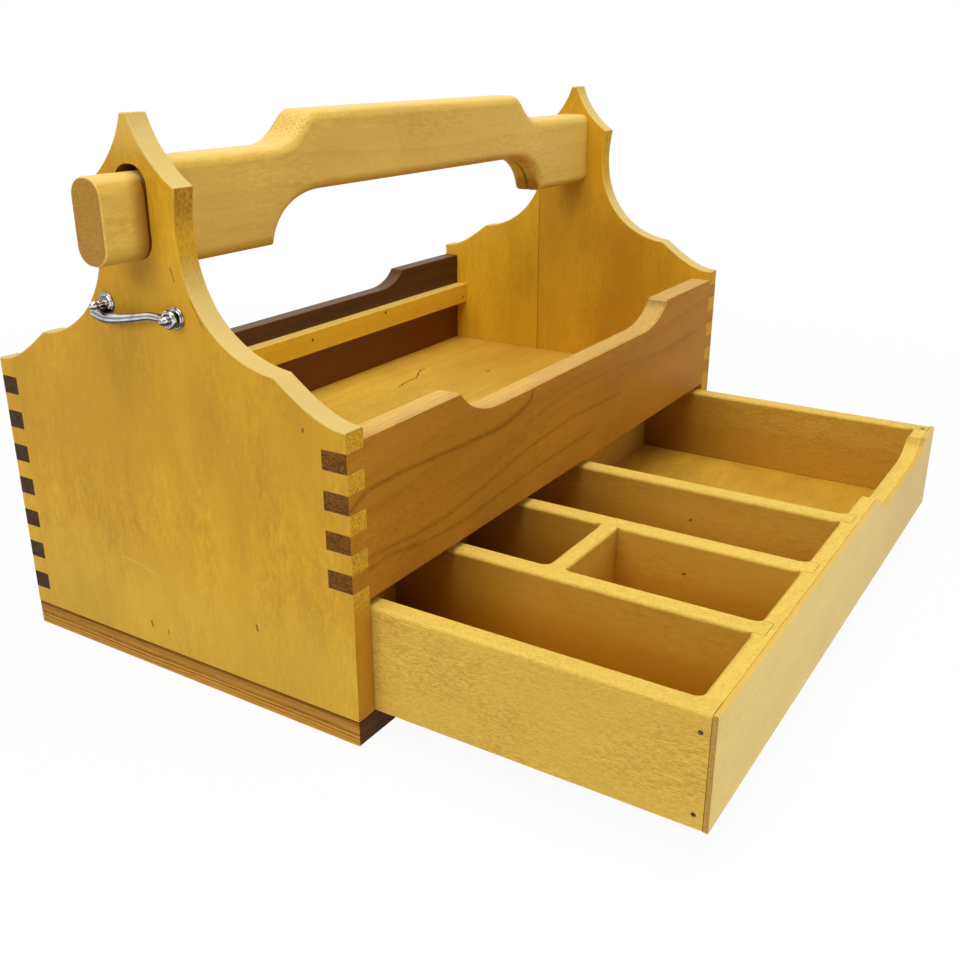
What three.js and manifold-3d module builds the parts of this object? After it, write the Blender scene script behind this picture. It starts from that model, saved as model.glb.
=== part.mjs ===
// A carpenter's tool chest with a carrying handle, an open tray and a long divided drawer.
// Lengths are in millimetres. X runs along the chest, Y from front to back and Z up.
// The origin is the centre of the base board's underside, and the drawer stands open.
import * as THREE from 'three';
import { mergeVertices } from 'three/addons/utils/BufferGeometryUtils.js';
import Module from 'manifold-3d';

const wasm = await Module();
wasm.setup();

// Whole chest
const chestLength = 436;
const chestDepth = 232;
const baseThickness = 13.4;
const endThickness = 12;
const frontThickness = 14;
const backThickness = 11;
const floorThickness = 7.6;
const floorHousing = 4;

// Fits: a glue line between fixed pieces, a running gap under the drawer, an overrun for cuts
const glueLine = 0.1;
const runningGap = 0.3;
const overrun = 5;
const mergeDistance = 0.0001;

// Finger joints, counted up the corner in finger widths from the base board
const fingerWidth = 9.6;
const shoulderFingers = 15;
const firstFrontFinger = 7;
const firstBackFinger = 1;
const floorLevelFingers = 7;
const topFingers = 14;

// End boards: the outline above the shoulder is given in shares of half the depth and of the rise
const crestRise = 125.6;
const plankJointAcross = 27.6;
const crestCurveShares = [
  [[0.888, 0], [0.776, 0.072], [0.666, 0.148]],
  [[0.448, 0.163], [0.217, 0.31], [0.217, 0.605]],
  [[0.217, 0.661], [0.226, 0.709], [0.236, 0.758]],
  [[0.16, 0.8], [0.06, 0.885], [0.02, 1]],
];
const crestCurveSteps = 16;

// Mortise and handle
const crestAboveMortise = 21.3;
const mortiseWidth = 20.4;
const mortiseHeight = 42;
const mortiseCorner = 9.4;
const tenonSideGap = 0.8;
const tenonTopGap = 3.3;
const tenonProtrusion = 25;
const tenonEndRound = 1.5;
const handleThickness = 24;
const handleRound = 6;
const shankDrop = 4.2;
const shankHeight = 48.2;
const gripRise = 24.3;
const gripHeight = 40.2;
const swellHalf = 103;
const swellRun = 32;
const archHalf = 98;
const archRun = 40;
const slotWidth = 1.8;
const slotHalf = 146;
const slotDepth = 8;
const swellShares = [[0, 0], [0.6, 0], [0.75, 1], [1, 1]];
const archShares = [[0, 0], [0.45, 0], [0.92, 0.3], [1, 1]];
const handleCurveSteps = 16;
const handleRoundSteps = 6;

// Front and back boards: raised ends, and a scoop along the top between them
const frontTopLip = 3.8;
const frontScoopHalf = 128;
const frontScoopRun = 38;
const frontScoopDepth = 15.1;
const backTopLip = 1.8;
const backScoopHalf = 128.5;
const backScoopRun = 28;
const backScoopDepth = 11.2;
const scoopShares = [[0, 0], [0.15, 0.5], [0.47, 1], [1, 1]];
const scoopSteps = 14;

// Ledge strip along the inside of the back board
const ledgeThickness = 8.8;
const ledgeHeight = 15.2;
const ledgeDrop = 11.8;
const ledgeNailShares = [[-0.86, 0.45], [-0.41, 0.55], [0.042, 0.4], [0.454, 0.2], [0.975, 0.7]];

// Chrome hook on the left end board
const studAcross = -20.9;
const studSpacing = 46.1;
const studRise = 37.8;
const rearStudLift = 1.7;
const rosetteRadius = 5.2;
const rosetteThickness = 1.9;
const rosetteEdge = 0.7;
const neckRadius = 1.6;
const ballRadius = 2.4;
const ballGap = 1.5;
const spikeRadius = 1.5;
const spikeLength = 8;
const armGap = 0.1;
const armStartRadius = 1.8;
const armEndRadius = 2.6;
const eyeWire = 1.3;
const neckGap = 0.4;
const armSag = 6;
const armPathShares = [[0.25, -0.03], [0.45, 0.25], [0.7, 0.58], [0.9, 0.68]];
const curlTurnShares = [-0.2, -0.13, -0.07];
const armRings = 40;
const armSides = 14;
const turnSides = 24;
const ballSteps = 7;

// Drawer
const drawerOut = 168;
const drawerHeadroom = 4.2;
const drawerSideGap = 0.5;
const drawerBackGap = 2;
const sideThickness = 11.4;
const facingThickness = 2.4;
const drawerFrontThickness = 9;
const drawerBackThickness = 11.4;
const dividerThickness = 12;
const crossThickness = 10;
const crossSetBack = 111;
const narrowWidth = 60;
const longDividerCount = 3;
const housingDepth = 6;
const panelThickness = 4;
const panelRaise = 2.6;
const panelHousing = 3;
const topRound = 2.4;
const roundSteps = 4;
const rimCorner = 3.5;
const fingerScoopInset = 29;
const fingerScoopHalf = 62;
const fingerScoopRun = 26;
const fingerScoopDepth = 10.8;

// Nails and screws
const nailRadius = 0.8;
const nailHeadRadius = 1.1;
const nailHeadThickness = 1;
const nailSides = 8;
const nailGap = 0.12;
const drawerNailLength = 26;
const drawerNailInset = 1.7;
const drawerNailShares = [0.12, 0.83];
const ledgeNailLength = 16;
const screwRadius = 1.8;
const screwHeadRadius = 3.6;
const screwHeadHeight = 2.6;
const screwLength = 32;
const screwRecess = 0.4;
const screwSides = 12;
const endScrewShares = [-0.68, 0.62];
const backScrewShares = [-0.55, 0.55];

// Worked out from the driving sizes
const halfLength = chestLength / 2;
const halfDepth = chestDepth / 2;
const innerHalf = halfLength - endThickness;
const frontInner = -halfDepth + frontThickness;
const backInner = halfDepth - backThickness;
const shoulderHeight = shoulderFingers * fingerWidth;
const floorTop = floorLevelFingers * fingerWidth;
const floorBottom = floorTop - floorThickness;
const carcassBase = baseThickness + glueLine;
const frontTop = topFingers * fingerWidth + frontTopLip;
const backTop = topFingers * fingerWidth + backTopLip;
const ledgeTop = backTop - backScoopDepth - ledgeDrop;
const mortiseBottom = shoulderHeight + crestRise - crestAboveMortise - mortiseHeight;
const tenonBottom = mortiseBottom + glueLine;
const tenonWidth = mortiseWidth - 2 * tenonSideGap;
const tenonHeight = mortiseHeight - glueLine - tenonTopGap;
const tenonCorner = mortiseCorner - tenonSideGap;
const shankBottom = tenonBottom - shankDrop;
const gripBottom = shankBottom + gripRise;
const shoulderHalf = innerHalf - glueLine;
const frontStudHeight = shoulderHeight + studRise;
const armStandOff = rosetteThickness + armGap + armEndRadius;
const ballStandOff = armStandOff + eyeWire + ballGap;
const eyeRadius = neckRadius + neckGap + eyeWire;
const curlRadius = neckRadius + neckGap + armEndRadius;
const drawerWidth = 2 * (innerHalf - drawerSideGap);
const drawerDepth = chestDepth - backThickness - drawerBackGap;
const drawerHeight = floorBottom - drawerHeadroom;
const drawerInnerHalf = drawerWidth / 2 - sideThickness;
const drawerFrontBack = facingThickness + glueLine + drawerFrontThickness;
const drawerBackFront = drawerDepth - drawerBackThickness;
const drawerNailSetBack = drawerFrontBack - panelHousing - drawerNailInset;
const fingerScoopCentre = drawerWidth / 2 - fingerScoopInset - fingerScoopHalf;
const panelBottom = panelRaise;
const panelTop = panelRaise + panelThickness;
const dividerPitch = narrowWidth + dividerThickness;

const paleWood = { color: 0xd2a242, roughness: 0.55, metalness: 0 };
const drawerWood = { color: 0xdbb863, roughness: 0.6, metalness: 0 };
const redWood = { color: 0x99672f, roughness: 0.55, metalness: 0 };
const darkWood = { color: 0x45230d, roughness: 0.55, metalness: 0 };
const plinthWood = { color: 0x8a5a2c, roughness: 0.6, metalness: 0 };
const chrome = { color: 0xd8dadd, roughness: 0.12, metalness: 1 };
const nailSteel = { color: 0x4c4640, roughness: 0.5, metalness: 0.8 };
const screwSteel = { color: 0xa9a9a4, roughness: 0.35, metalness: 1 };

// Solids: a closed geometry becomes a manifold for joining and cutting, and comes back as geometry
function toSolid(geometry) {
  const bare = geometry.clone();
  bare.deleteAttribute('normal');
  bare.deleteAttribute('uv');
  const merged = mergeVertices(bare, mergeDistance);
  const vertProperties = new Float32Array(merged.attributes.position.array);
  const triVerts = new Uint32Array(merged.index.array);
  return new wasm.Manifold(new wasm.Mesh({ numProp: 3, vertProperties, triVerts }));
}

function toGeometry(solid) {
  const mesh = solid.getMesh();
  const geometry = new THREE.BufferGeometry();
  geometry.setAttribute('position', new THREE.BufferAttribute(new Float32Array(mesh.vertProperties), 3));
  geometry.setIndex(new THREE.BufferAttribute(new Uint32Array(mesh.triVerts), 1));
  geometry.computeVertexNormals();
  return geometry;
}

function carve(geometry, tools) {
  return toGeometry(tools.reduce((rest, tool) => rest.subtract(toSolid(tool)), toSolid(geometry)));
}

function fuse(geometries) {
  const [first, ...others] = geometries.map(toSolid);
  return toGeometry(others.reduce((whole, part) => whole.add(part), first));
}

function block(low, high) {
  const size = high.map((value, axis) => value - low[axis]);
  const middle = high.map((value, axis) => (value + low[axis]) / 2);
  return new THREE.BoxGeometry(...size).translate(...middle);
}

function piece(name, geometry, look) {
  const mesh = new THREE.Mesh(geometry, new THREE.MeshStandardMaterial(look));
  mesh.name = name;
  return mesh;
}

// A cubic curve whose shares are stretched from one corner to another, as a list of points
function stretchedCurve(shares, from, to, steps) {
  const points = shares.map(([along, up]) => new THREE.Vector2(
    THREE.MathUtils.lerp(from[0], to[0], along),
    THREE.MathUtils.lerp(from[1], to[1], up),
  ));
  return new THREE.CubicBezierCurve(...points).getPoints(steps).map((point) => [point.x, point.y]);
}

// The two ways in which a flat outline is stood up: facing the front, or facing an end
function standFacingFront(geometry) {
  const turn = new THREE.Matrix4().makeBasis(
    new THREE.Vector3(1, 0, 0),
    new THREE.Vector3(0, 0, 1),
    new THREE.Vector3(0, -1, 0),
  );
  return geometry.applyMatrix4(turn);
}

function standFacingEnd(geometry) {
  const turn = new THREE.Matrix4().makeBasis(
    new THREE.Vector3(0, 1, 0),
    new THREE.Vector3(0, 0, 1),
    new THREE.Vector3(1, 0, 0),
  );
  return geometry.applyMatrix4(turn);
}

function slab(points, thickness, holes = []) {
  const shape = new THREE.Shape(points.map(([x, y]) => new THREE.Vector2(x, y)));
  shape.holes = holes;
  return new THREE.ExtrudeGeometry(shape, { depth: thickness, bevelEnabled: false });
}

function roundedRectangle(path, halfWidth, low, high, corner) {
  path.moveTo(-halfWidth + corner, low);
  path.lineTo(halfWidth - corner, low);
  path.absarc(halfWidth - corner, low + corner, corner, -Math.PI / 2, 0);
  path.lineTo(halfWidth, high - corner);
  path.absarc(halfWidth - corner, high - corner, corner, 0, Math.PI / 2);
  path.lineTo(-halfWidth + corner, high);
  path.absarc(-halfWidth + corner, high - corner, corner, Math.PI / 2, Math.PI);
  path.lineTo(-halfWidth, low + corner);
  path.absarc(-halfWidth + corner, low + corner, corner, Math.PI, 1.5 * Math.PI);
  return path;
}

// The room that the tray floor takes in the boards that house it
function floorRoom() {
  return block(
    [-innerHalf - floorHousing, frontInner, floorBottom - glueLine],
    [innerHalf + floorHousing, backInner + floorHousing, floorTop + glueLine],
  );
}

// Turned pieces: a profile of radius and height pairs, spun about the vertical
function turned(profile, sides) {
  return new THREE.LatheGeometry(profile.map(([radius, along]) => new THREE.Vector2(radius, along)), sides);
}

function nailShape(length, gap) {
  const profile = [
    [0, -length - gap],
    [nailRadius + gap, -length - gap],
    [nailRadius + gap, -nailHeadThickness - gap],
    [nailHeadRadius + gap, -nailHeadThickness - gap],
    [nailHeadRadius + gap, gap],
    [0, gap],
  ];
  return turned(profile, nailSides);
}

function screwShape(gap) {
  const headTop = gap > 0 ? screwRecess + overrun : 0;
  const profile = [
    [0, -screwLength - gap],
    [screwRadius + gap, -screwLength - gap],
    [screwRadius + gap, -screwHeadHeight - gap],
    [screwHeadRadius + gap, -gap],
    [screwHeadRadius + gap, headTop],
    [0, headTop],
  ];
  if (headTop === 0) {
    profile.splice(4, 1);
  }
  return turned(profile, screwSides);
}

// Screws point up through the base board; these are the places of their heads
function screwPlaces() {
  const endMiddle = halfLength - endThickness / 2;
  const backMiddle = halfDepth - backThickness / 2;
  const places = [];
  for (const side of [-1, 1]) {
    endScrewShares.forEach((share) => places.push([side * endMiddle, share * halfDepth]));
  }
  backScrewShares.forEach((share) => places.push([share * innerHalf, backMiddle]));
  return places;
}

// A screw or its hole, turned to point up, with its head level with the base board's underside
function placedScrew([x, y], gap) {
  return screwShape(gap).rotateX(-Math.PI / 2).translate(x, y, screwRecess);
}

function screwHoles() {
  return screwPlaces().map((place) => placedScrew(place, glueLine));
}

function baseBoard() {
  const board = block([-halfLength, -halfDepth, 0], [halfLength, halfDepth, baseThickness]);
  return piece('base_board', carve(board, screwHoles()), plinthWood);
}

function baseScrews() {
  return screwPlaces().map((place, index) => piece(`base_screw_${index + 1}`, placedScrew(place, 0), screwSteel));
}

// One side of an end board's outline above the shoulder, from the shoulder up to the tip
function crestPoints() {
  const place = ([across, up]) => new THREE.Vector2(across * halfDepth, shoulderHeight + up * crestRise);
  let start = place([1, 0]);
  const points = [start];
  for (const shares of crestCurveShares) {
    const curve = new THREE.CubicBezierCurve(start, ...shares.map(place));
    points.push(...curve.getPoints(crestCurveSteps).slice(1));
    start = place(shares[2]);
  }
  return points.map((point) => [point.x, point.y]);
}

// Every second finger width from the first finger up to the joint's top belongs to the long boards
function fingerRows(first) {
  return Array.from({ length: Math.ceil((topFingers - first) / 2) }, (_, index) => first + 2 * index);
}

// A corner edge going up, notched where the other board's fingers come through
function socketEdge(edge, inward, first, top) {
  const points = [[edge, 0]];
  for (const row of fingerRows(first)) {
    const low = row * fingerWidth;
    const high = low + fingerWidth;
    points.push([edge, low], [inward, low], [inward, high], [edge, high]);
  }
  points.push([edge, top]);
  return points;
}

function endOutline() {
  const back = socketEdge(halfDepth, backInner - glueLine, firstBackFinger, shoulderHeight);
  const front = socketEdge(-halfDepth, frontInner + glueLine, firstFrontFinger, shoulderHeight);
  const crest = crestPoints().slice(1);
  const mirrored = crest.map(([across, up]) => [-across, up]).reverse();
  return [...back, ...crest, ...mirrored, ...front.reverse()];
}

function mortise() {
  const high = mortiseBottom + mortiseHeight;
  return roundedRectangle(new THREE.Path(), mortiseWidth / 2, mortiseBottom, high, mortiseCorner);
}

function endBoard(side) {
  const start = side < 0 ? -halfLength : innerHalf;
  const board = standFacingEnd(slab(endOutline(), endThickness, [mortise()])).translate(start, 0, 0);
  const screwTools = screwHoles().map((hole) => hole.translate(0, 0, -carcassBase));
  return carve(board, [floorRoom(), ...screwTools]);
}

function leftEndBoard() {
  const holes = studPlaces().map(([across, up]) => standOutFromEnd(spikeHole(), across, up));
  return piece('left_end_board', carve(endBoard(-1), holes), paleWood);
}

// The right end is glued up from a wide front plank and a narrower rear one
function rightEndPlanks() {
  const tall = shoulderHeight + crestRise + overrun;
  const far = halfLength + overrun;
  const rearRoom = block([innerHalf - overrun, plankJointAcross, -overrun], [far, halfDepth + overrun, tall]);
  const joint = plankJointAcross + glueLine;
  const frontRoom = block([innerHalf - overrun, -halfDepth - overrun, -overrun], [far, joint, tall]);
  return [
    piece('right_end_front_plank', carve(endBoard(1), [rearRoom]), paleWood),
    piece('right_end_rear_plank', carve(endBoard(1), [frontRoom]), paleWood),
  ];
}

// A finger-jointed end going up: the fingers reach the outer face of the end board
function fingerEdge(side, first, bottom, top) {
  const body = side * shoulderHalf;
  const outer = side * halfLength;
  const points = [[body, bottom]];
  for (const row of fingerRows(first)) {
    const low = row * fingerWidth + glueLine;
    const high = (row + 1) * fingerWidth - glueLine;
    points.push([body, low], [outer, low], [outer, high], [body, high]);
  }
  points.push([body, top]);
  return points;
}

// The top edge between two raised ends, from right to left
function scoopEdge(centre, half, run, depth, top) {
  const right = stretchedCurve(scoopShares, [centre + half, top], [centre + half - run, top - depth], scoopSteps);
  const left = stretchedCurve(scoopShares, [centre - half, top], [centre - half + run, top - depth], scoopSteps);
  return [...right, ...left.reverse()];
}

function jointedOutline(first, bottom, top, scoop) {
  return [
    ...fingerEdge(1, first, bottom, top),
    ...scoopEdge(0, scoop.half, scoop.run, scoop.depth, top),
    ...fingerEdge(-1, first, bottom, top).reverse(),
  ];
}

function frontBoard() {
  const scoop = { half: frontScoopHalf, run: frontScoopRun, depth: frontScoopDepth };
  const outline = jointedOutline(firstFrontFinger, floorBottom, frontTop, scoop);
  const board = standFacingFront(slab(outline, frontThickness)).translate(0, frontInner, 0);
  return piece('front_board', board, redWood);
}

function backBoard() {
  const scoop = { half: backScoopHalf, run: backScoopRun, depth: backScoopDepth };
  const outline = jointedOutline(firstBackFinger, 0, backTop, scoop);
  const board = standFacingFront(slab(outline, backThickness)).translate(0, halfDepth, 0);
  const nailTools = ledgeNailPlaces().map((place) => placedLedgeNail(place, nailGap));
  const screwTools = screwHoles().map((hole) => hole.translate(0, 0, -carcassBase));
  return piece('back_board', carve(board, [floorRoom(), ...nailTools, ...screwTools]), darkWood);
}

function trayFloor() {
  const reach = innerHalf + floorHousing - glueLine;
  const low = [-reach, frontInner + glueLine, floorBottom];
  const high = [reach, backInner + floorHousing - glueLine, floorTop];
  return piece('tray_floor', block(low, high), paleWood);
}

function ledgeNailPlaces() {
  return ledgeNailShares.map(([along, down]) => [along * innerHalf, ledgeTop - down * ledgeHeight]);
}

// A ledge nail or its hole, driven from the ledge's face towards the back
function placedLedgeNail([x, z], gap) {
  const face = backInner - glueLine - ledgeThickness;
  return nailShape(ledgeNailLength, gap).rotateX(Math.PI).translate(x, face, z);
}

function ledge() {
  const rear = backInner - glueLine;
  const low = [-shoulderHalf, rear - ledgeThickness, ledgeTop - ledgeHeight];
  const strip = block(low, [shoulderHalf, rear, ledgeTop]);
  const tools = ledgeNailPlaces().map((place) => placedLedgeNail(place, nailGap));
  const nails = ledgeNailPlaces().map((place, index) => (
    piece(`ledge_nail_${index + 1}`, placedLedgeNail(place, 0), nailSteel)
  ));
  return [piece('back_ledge', carve(strip, tools), paleWood), ...nails];
}

// The handle's outline seen from the front, without its tenons; its ends overrun the shoulders
function handleOutline() {
  const end = shoulderHalf + handleRound + overrun;
  const shankTop = shankBottom + shankHeight;
  const gripTop = gripBottom + gripHeight;
  const swellFoot = swellHalf + swellRun;
  const archFoot = archHalf + archRun;
  const swell = stretchedCurve(swellShares, [swellFoot, shankTop], [swellHalf, gripTop], handleCurveSteps);
  const arch = stretchedCurve(archShares, [archHalf, gripBottom], [archFoot, shankBottom], handleCurveSteps);
  const right = [...arch, [end, shankBottom], [end, shankTop], ...swell];
  const left = right.map(([x, z]) => [-x, z]).reverse();
  return [...right, ...left];
}

function tenon(side) {
  const half = tenonWidth / 2 - tenonEndRound;
  const low = tenonBottom + tenonEndRound;
  const high = tenonBottom + tenonHeight - tenonEndRound;
  const shape = roundedRectangle(new THREE.Shape(), half, low, high, tenonCorner - tenonEndRound);
  const reach = endThickness + tenonProtrusion + overrun + glueLine;
  const bar = new THREE.ExtrudeGeometry(shape, {
    depth: reach - 2 * tenonEndRound,
    bevelThickness: tenonEndRound,
    bevelSize: tenonEndRound,
    bevelSegments: 2,
    curveSegments: 4,
  });
  const start = side < 0 ? -halfLength - tenonProtrusion : shoulderHalf - overrun;
  return standFacingEnd(bar).translate(start + tenonEndRound, 0, 0);
}

function handle() {
  const shape = new THREE.Shape(handleOutline().map(([x, z]) => new THREE.Vector2(x, z)));
  const bar = new THREE.ExtrudeGeometry(shape, {
    depth: handleThickness - 2 * handleRound,
    bevelThickness: handleRound,
    bevelSize: handleRound,
    bevelOffset: -handleRound,
    bevelSegments: handleRoundSteps,
  });
  const standing = standFacingFront(bar).translate(0, handleThickness / 2 - handleRound, 0);
  const tall = gripBottom + gripHeight + overrun;
  const far = shoulderHalf + handleRound + 2 * overrun;
  const trims = [-1, 1].map((side) => {
    const ends = [side * shoulderHalf, side * far].sort((a, b) => a - b);
    return block([ends[0], -handleThickness, 0], [ends[1], handleThickness, tall]);
  });
  const slotHigh = gripBottom + slotDepth;
  const slot = block([-slotHalf, -slotWidth / 2, 0], [slotHalf, slotWidth / 2, slotHigh]);
  const shank = carve(standing, [...trims, slot]);
  return piece('handle', fuse([shank, tenon(-1), tenon(1)]), paleWood);
}

// Studs stand out of the left end board; these are their places as distance across and height
function studPlaces() {
  return [
    [studAcross, frontStudHeight],
    [studAcross + studSpacing, frontStudHeight + rearStudLift],
  ];
}

// Turns a piece made upright so that it points out of the left end board, and puts it in place
function standOutFromEnd(geometry, across, up) {
  return geometry.rotateZ(Math.PI / 2).translate(-halfLength, across, up);
}

function spikeHole() {
  const radius = spikeRadius + glueLine;
  const bottom = -spikeLength - glueLine;
  return turned([[0, bottom], [radius, bottom], [radius, overrun], [0, overrun]], turnSides);
}

function studShape() {
  const ballStart = Math.asin(neckRadius / ballRadius);
  const profile = [
    [0, -spikeLength],
    [spikeRadius, -spikeLength],
    [spikeRadius, glueLine],
    [rosetteRadius, glueLine],
    [rosetteRadius, rosetteEdge],
    [(rosetteRadius + neckRadius) / 2, rosetteThickness - rosetteEdge / 2],
    [neckRadius, rosetteThickness],
  ];
  for (let step = 0; step <= ballSteps; step += 1) {
    const angle = THREE.MathUtils.lerp(ballStart, Math.PI, step / ballSteps);
    const radius = step === ballSteps ? 0 : ballRadius * Math.sin(angle);
    profile.push([radius, ballStandOff - ballRadius * Math.cos(angle)]);
  }
  return turned(profile, turnSides);
}

function studs() {
  return studPlaces().map(([across, up], index) => (
    piece(index === 0 ? 'front_stud' : 'rear_stud', standOutFromEnd(studShape(), across, up), chrome)
  ));
}

// Joins rings of points into one closed skin; each ring runs counter-clockwise seen from the last ring
function loft(rings) {
  const sides = rings[0].length;
  const last = (rings.length - 1) * sides;
  const index = [];
  for (let here = 0; here < last; here += sides) {
    const there = here + sides;
    for (let side = 0; side < sides; side += 1) {
      const next = (side + 1) % sides;
      index.push(here + side, here + next, there + side, here + next, there + next, there + side);
    }
  }
  for (let side = 1; side < sides - 1; side += 1) {
    index.push(0, side + 1, side);
    index.push(last, last + side, last + side + 1);
  }
  const geometry = new THREE.BufferGeometry();
  geometry.setAttribute('position', new THREE.Float32BufferAttribute(rings.flat(2), 3));
  geometry.setIndex(index);
  return geometry;
}

// A round rod along a path in the YZ plane, thicker towards its far end, with a rounded tip
function taperedRod(path, startRadius, endRadius) {
  const length = path.getLength();
  const rings = Array.from({ length: armRings + 1 }, (_, ring) => {
    const share = ring / armRings;
    const centre = path.getPointAt(share);
    const tangent = path.getTangentAt(share);
    const toTip = Math.min(1, ((1 - share) * length) / endRadius);
    const tipScale = Math.max(1 / armSides, Math.sqrt(1 - (1 - toTip) ** 2));
    const radius = THREE.MathUtils.lerp(startRadius, endRadius, share) * tipScale;
    return Array.from({ length: armSides }, (__, side) => {
      const angle = (2 * Math.PI * side) / armSides;
      const up = -radius * Math.sin(angle);
      return [radius * Math.cos(angle), centre.y - tangent.z * up, centre.z + tangent.y * up];
    });
  });
  return loft(rings);
}

// The hook arm turns on the front stud's neck and curls up round the rear stud's neck
function hookArm() {
  const curlCentre = new THREE.Vector3(0, studSpacing, rearStudLift);
  const onCurl = (turnShare) => {
    const angle = 2 * Math.PI * turnShare;
    return new THREE.Vector3(0, Math.cos(angle), Math.sin(angle)).multiplyScalar(curlRadius).add(curlCentre);
  };
  const path = new THREE.CatmullRomCurve3([
    new THREE.Vector3(0, eyeRadius, 0),
    ...armPathShares.map(([along, down]) => new THREE.Vector3(0, along * studSpacing, -down * armSag)),
    ...curlTurnShares.map(onCurl),
  ]);
  const eye = new THREE.TorusGeometry(eyeRadius, eyeWire, armSides, turnSides).rotateY(Math.PI / 2);
  const arm = piece('hook_arm', fuse([taperedRod(path, armStartRadius, armEndRadius), eye]), chrome);
  arm.position.set(-halfLength - armStandOff, studAcross, frontStudHeight);
  return arm;
}

// How far a rounded-over arris stands in and below the sharp corner, from the side face to the top
function arrisSteps() {
  return Array.from({ length: roundSteps + 1 }, (_, step) => {
    const angle = (Math.PI / 2) * (step / roundSteps);
    return [topRound * (1 - Math.cos(angle)), topRound * (1 - Math.sin(angle))];
  });
}

// A rectangle with round corners as a ring of points, counter-clockwise seen from above
function roundedRing([x0, x1, y0, y1], corner, z) {
  const centres = [[x1, y1, 0], [x0, y1, 1], [x0, y0, 2], [x1, y0, 3]];
  return centres.flatMap(([x, y, quarter]) => {
    const centreX = x - Math.sign(x - x0 - (x1 - x0) / 2) * corner;
    const centreY = y - Math.sign(y - y0 - (y1 - y0) / 2) * corner;
    return Array.from({ length: roundSteps + 1 }, (_, step) => {
      const angle = (Math.PI / 2) * (quarter + step / roundSteps);
      return [centreX + corner * Math.cos(angle), centreY + corner * Math.sin(angle), z];
    });
  });
}

// What rounds over the rim of one compartment; in its corners the rim keeps a small radius
function rimTool([x0, x1, y0, y1]) {
  const rings = arrisSteps().map(([inset, drop]) => (
    roundedRing([x0 - inset, x1 + inset, y0 - inset, y1 + inset], rimCorner + inset, drawerHeight - drop)
  ));
  const mouth = rings[rings.length - 1].map(([x, y]) => [x, y, drawerHeight + overrun]);
  return loft([...rings, mouth]);
}

// The drawer is made about its own front: Y is 0 at the front face, X at the middle, Z at the underside
function panelRoom() {
  const reach = drawerInnerHalf + panelHousing;
  const low = [-reach, drawerFrontBack - panelHousing, panelBottom - glueLine];
  return block(low, [reach, drawerBackFront + panelHousing, panelTop + glueLine]);
}

function dividerCentres() {
  const first = -drawerInnerHalf + narrowWidth + dividerThickness / 2;
  return Array.from({ length: longDividerCount }, (_, index) => first + index * dividerPitch);
}

function dividerRooms() {
  const half = dividerThickness / 2 + glueLine;
  return dividerCentres().map((x) => block(
    [x - half, drawerFrontBack - housingDepth, panelBottom - glueLine],
    [x + half, drawerBackFront + housingDepth, drawerHeight + overrun],
  ));
}

// The compartments as left, right, front and back: between the dividers, and split by the cross divider
function compartments() {
  const half = dividerThickness / 2;
  const walls = [-drawerInnerHalf, ...dividerCentres().flatMap((x) => [x - half, x + half]), drawerInnerHalf];
  const crossBack = crossSetBack + crossThickness;
  const rooms = [];
  for (let wall = 0; wall < walls.length; wall += 2) {
    const ends = wall === 2
      ? [[drawerFrontBack, crossSetBack], [crossBack, drawerBackFront]]
      : [[drawerFrontBack, drawerBackFront]];
    ends.forEach(([front, back]) => rooms.push([walls[wall], walls[wall + 1], front, back]));
  }
  return rooms;
}

function rimTools() {
  return compartments().map(rimTool);
}

function drawerNailPlaces() {
  const rear = drawerDepth - drawerBackThickness / 2;
  const places = [];
  for (const side of [-1, 1]) {
    for (const back of [drawerNailSetBack, rear]) {
      drawerNailShares.forEach((share) => places.push([side, back, share * drawerHeight]));
    }
  }
  return places;
}

// A drawer nail or its hole, driven inwards through a drawer side
function placedDrawerNail([side, y, z], gap) {
  const nail = nailShape(drawerNailLength, gap).rotateZ((-side * Math.PI) / 2);
  return nail.translate((side * drawerWidth) / 2, y, z);
}

function drawerNailHoles() {
  return drawerNailPlaces().map((place) => placedDrawerNail(place, nailGap));
}

// A drawer side, with its outer top arris rounded over along its whole length
function drawerSide(side) {
  const outer = (side * drawerWidth) / 2;
  const inner = side * drawerInnerHalf;
  const arris = arrisSteps().map(([inset, drop]) => [outer - side * inset, drawerHeight - drop]);
  const outline = [[inner, 0], [outer, 0], ...arris, [inner, drawerHeight]];
  const length = drawerDepth - facingThickness - glueLine;
  const board = standFacingFront(slab(outline, length)).translate(0, drawerDepth, 0);
  const name = side < 0 ? 'drawer_left_side' : 'drawer_right_side';
  return piece(name, carve(board, [panelRoom(), ...rimTools(), ...drawerNailHoles()]), drawerWood);
}

// The front's top edge dips in a finger scoop near its right end
function drawerFrontOutline(half) {
  const scoop = scoopEdge(fingerScoopCentre, fingerScoopHalf, fingerScoopRun, fingerScoopDepth, drawerHeight);
  return [[-half, 0], [half, 0], [half, drawerHeight], ...scoop, [-half, drawerHeight]];
}

function drawerFront() {
  const outline = drawerFrontOutline(drawerInnerHalf - glueLine);
  const board = standFacingFront(slab(outline, drawerFrontThickness)).translate(0, drawerFrontBack, 0);
  const tools = [panelRoom(), ...dividerRooms(), ...rimTools(), ...drawerNailHoles()];
  return piece('drawer_front', carve(board, tools), drawerWood);
}

function drawerFacing() {
  const outline = drawerFrontOutline(drawerWidth / 2);
  const board = standFacingFront(slab(outline, facingThickness)).translate(0, facingThickness, 0);
  return piece('drawer_facing', board, drawerWood);
}

function drawerBack() {
  const half = drawerInnerHalf - glueLine;
  const board = block([-half, drawerBackFront, 0], [half, drawerDepth, drawerHeight]);
  const tools = [panelRoom(), ...dividerRooms(), ...rimTools(), ...drawerNailHoles()];
  return piece('drawer_back', carve(board, tools), drawerWood);
}

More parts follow.
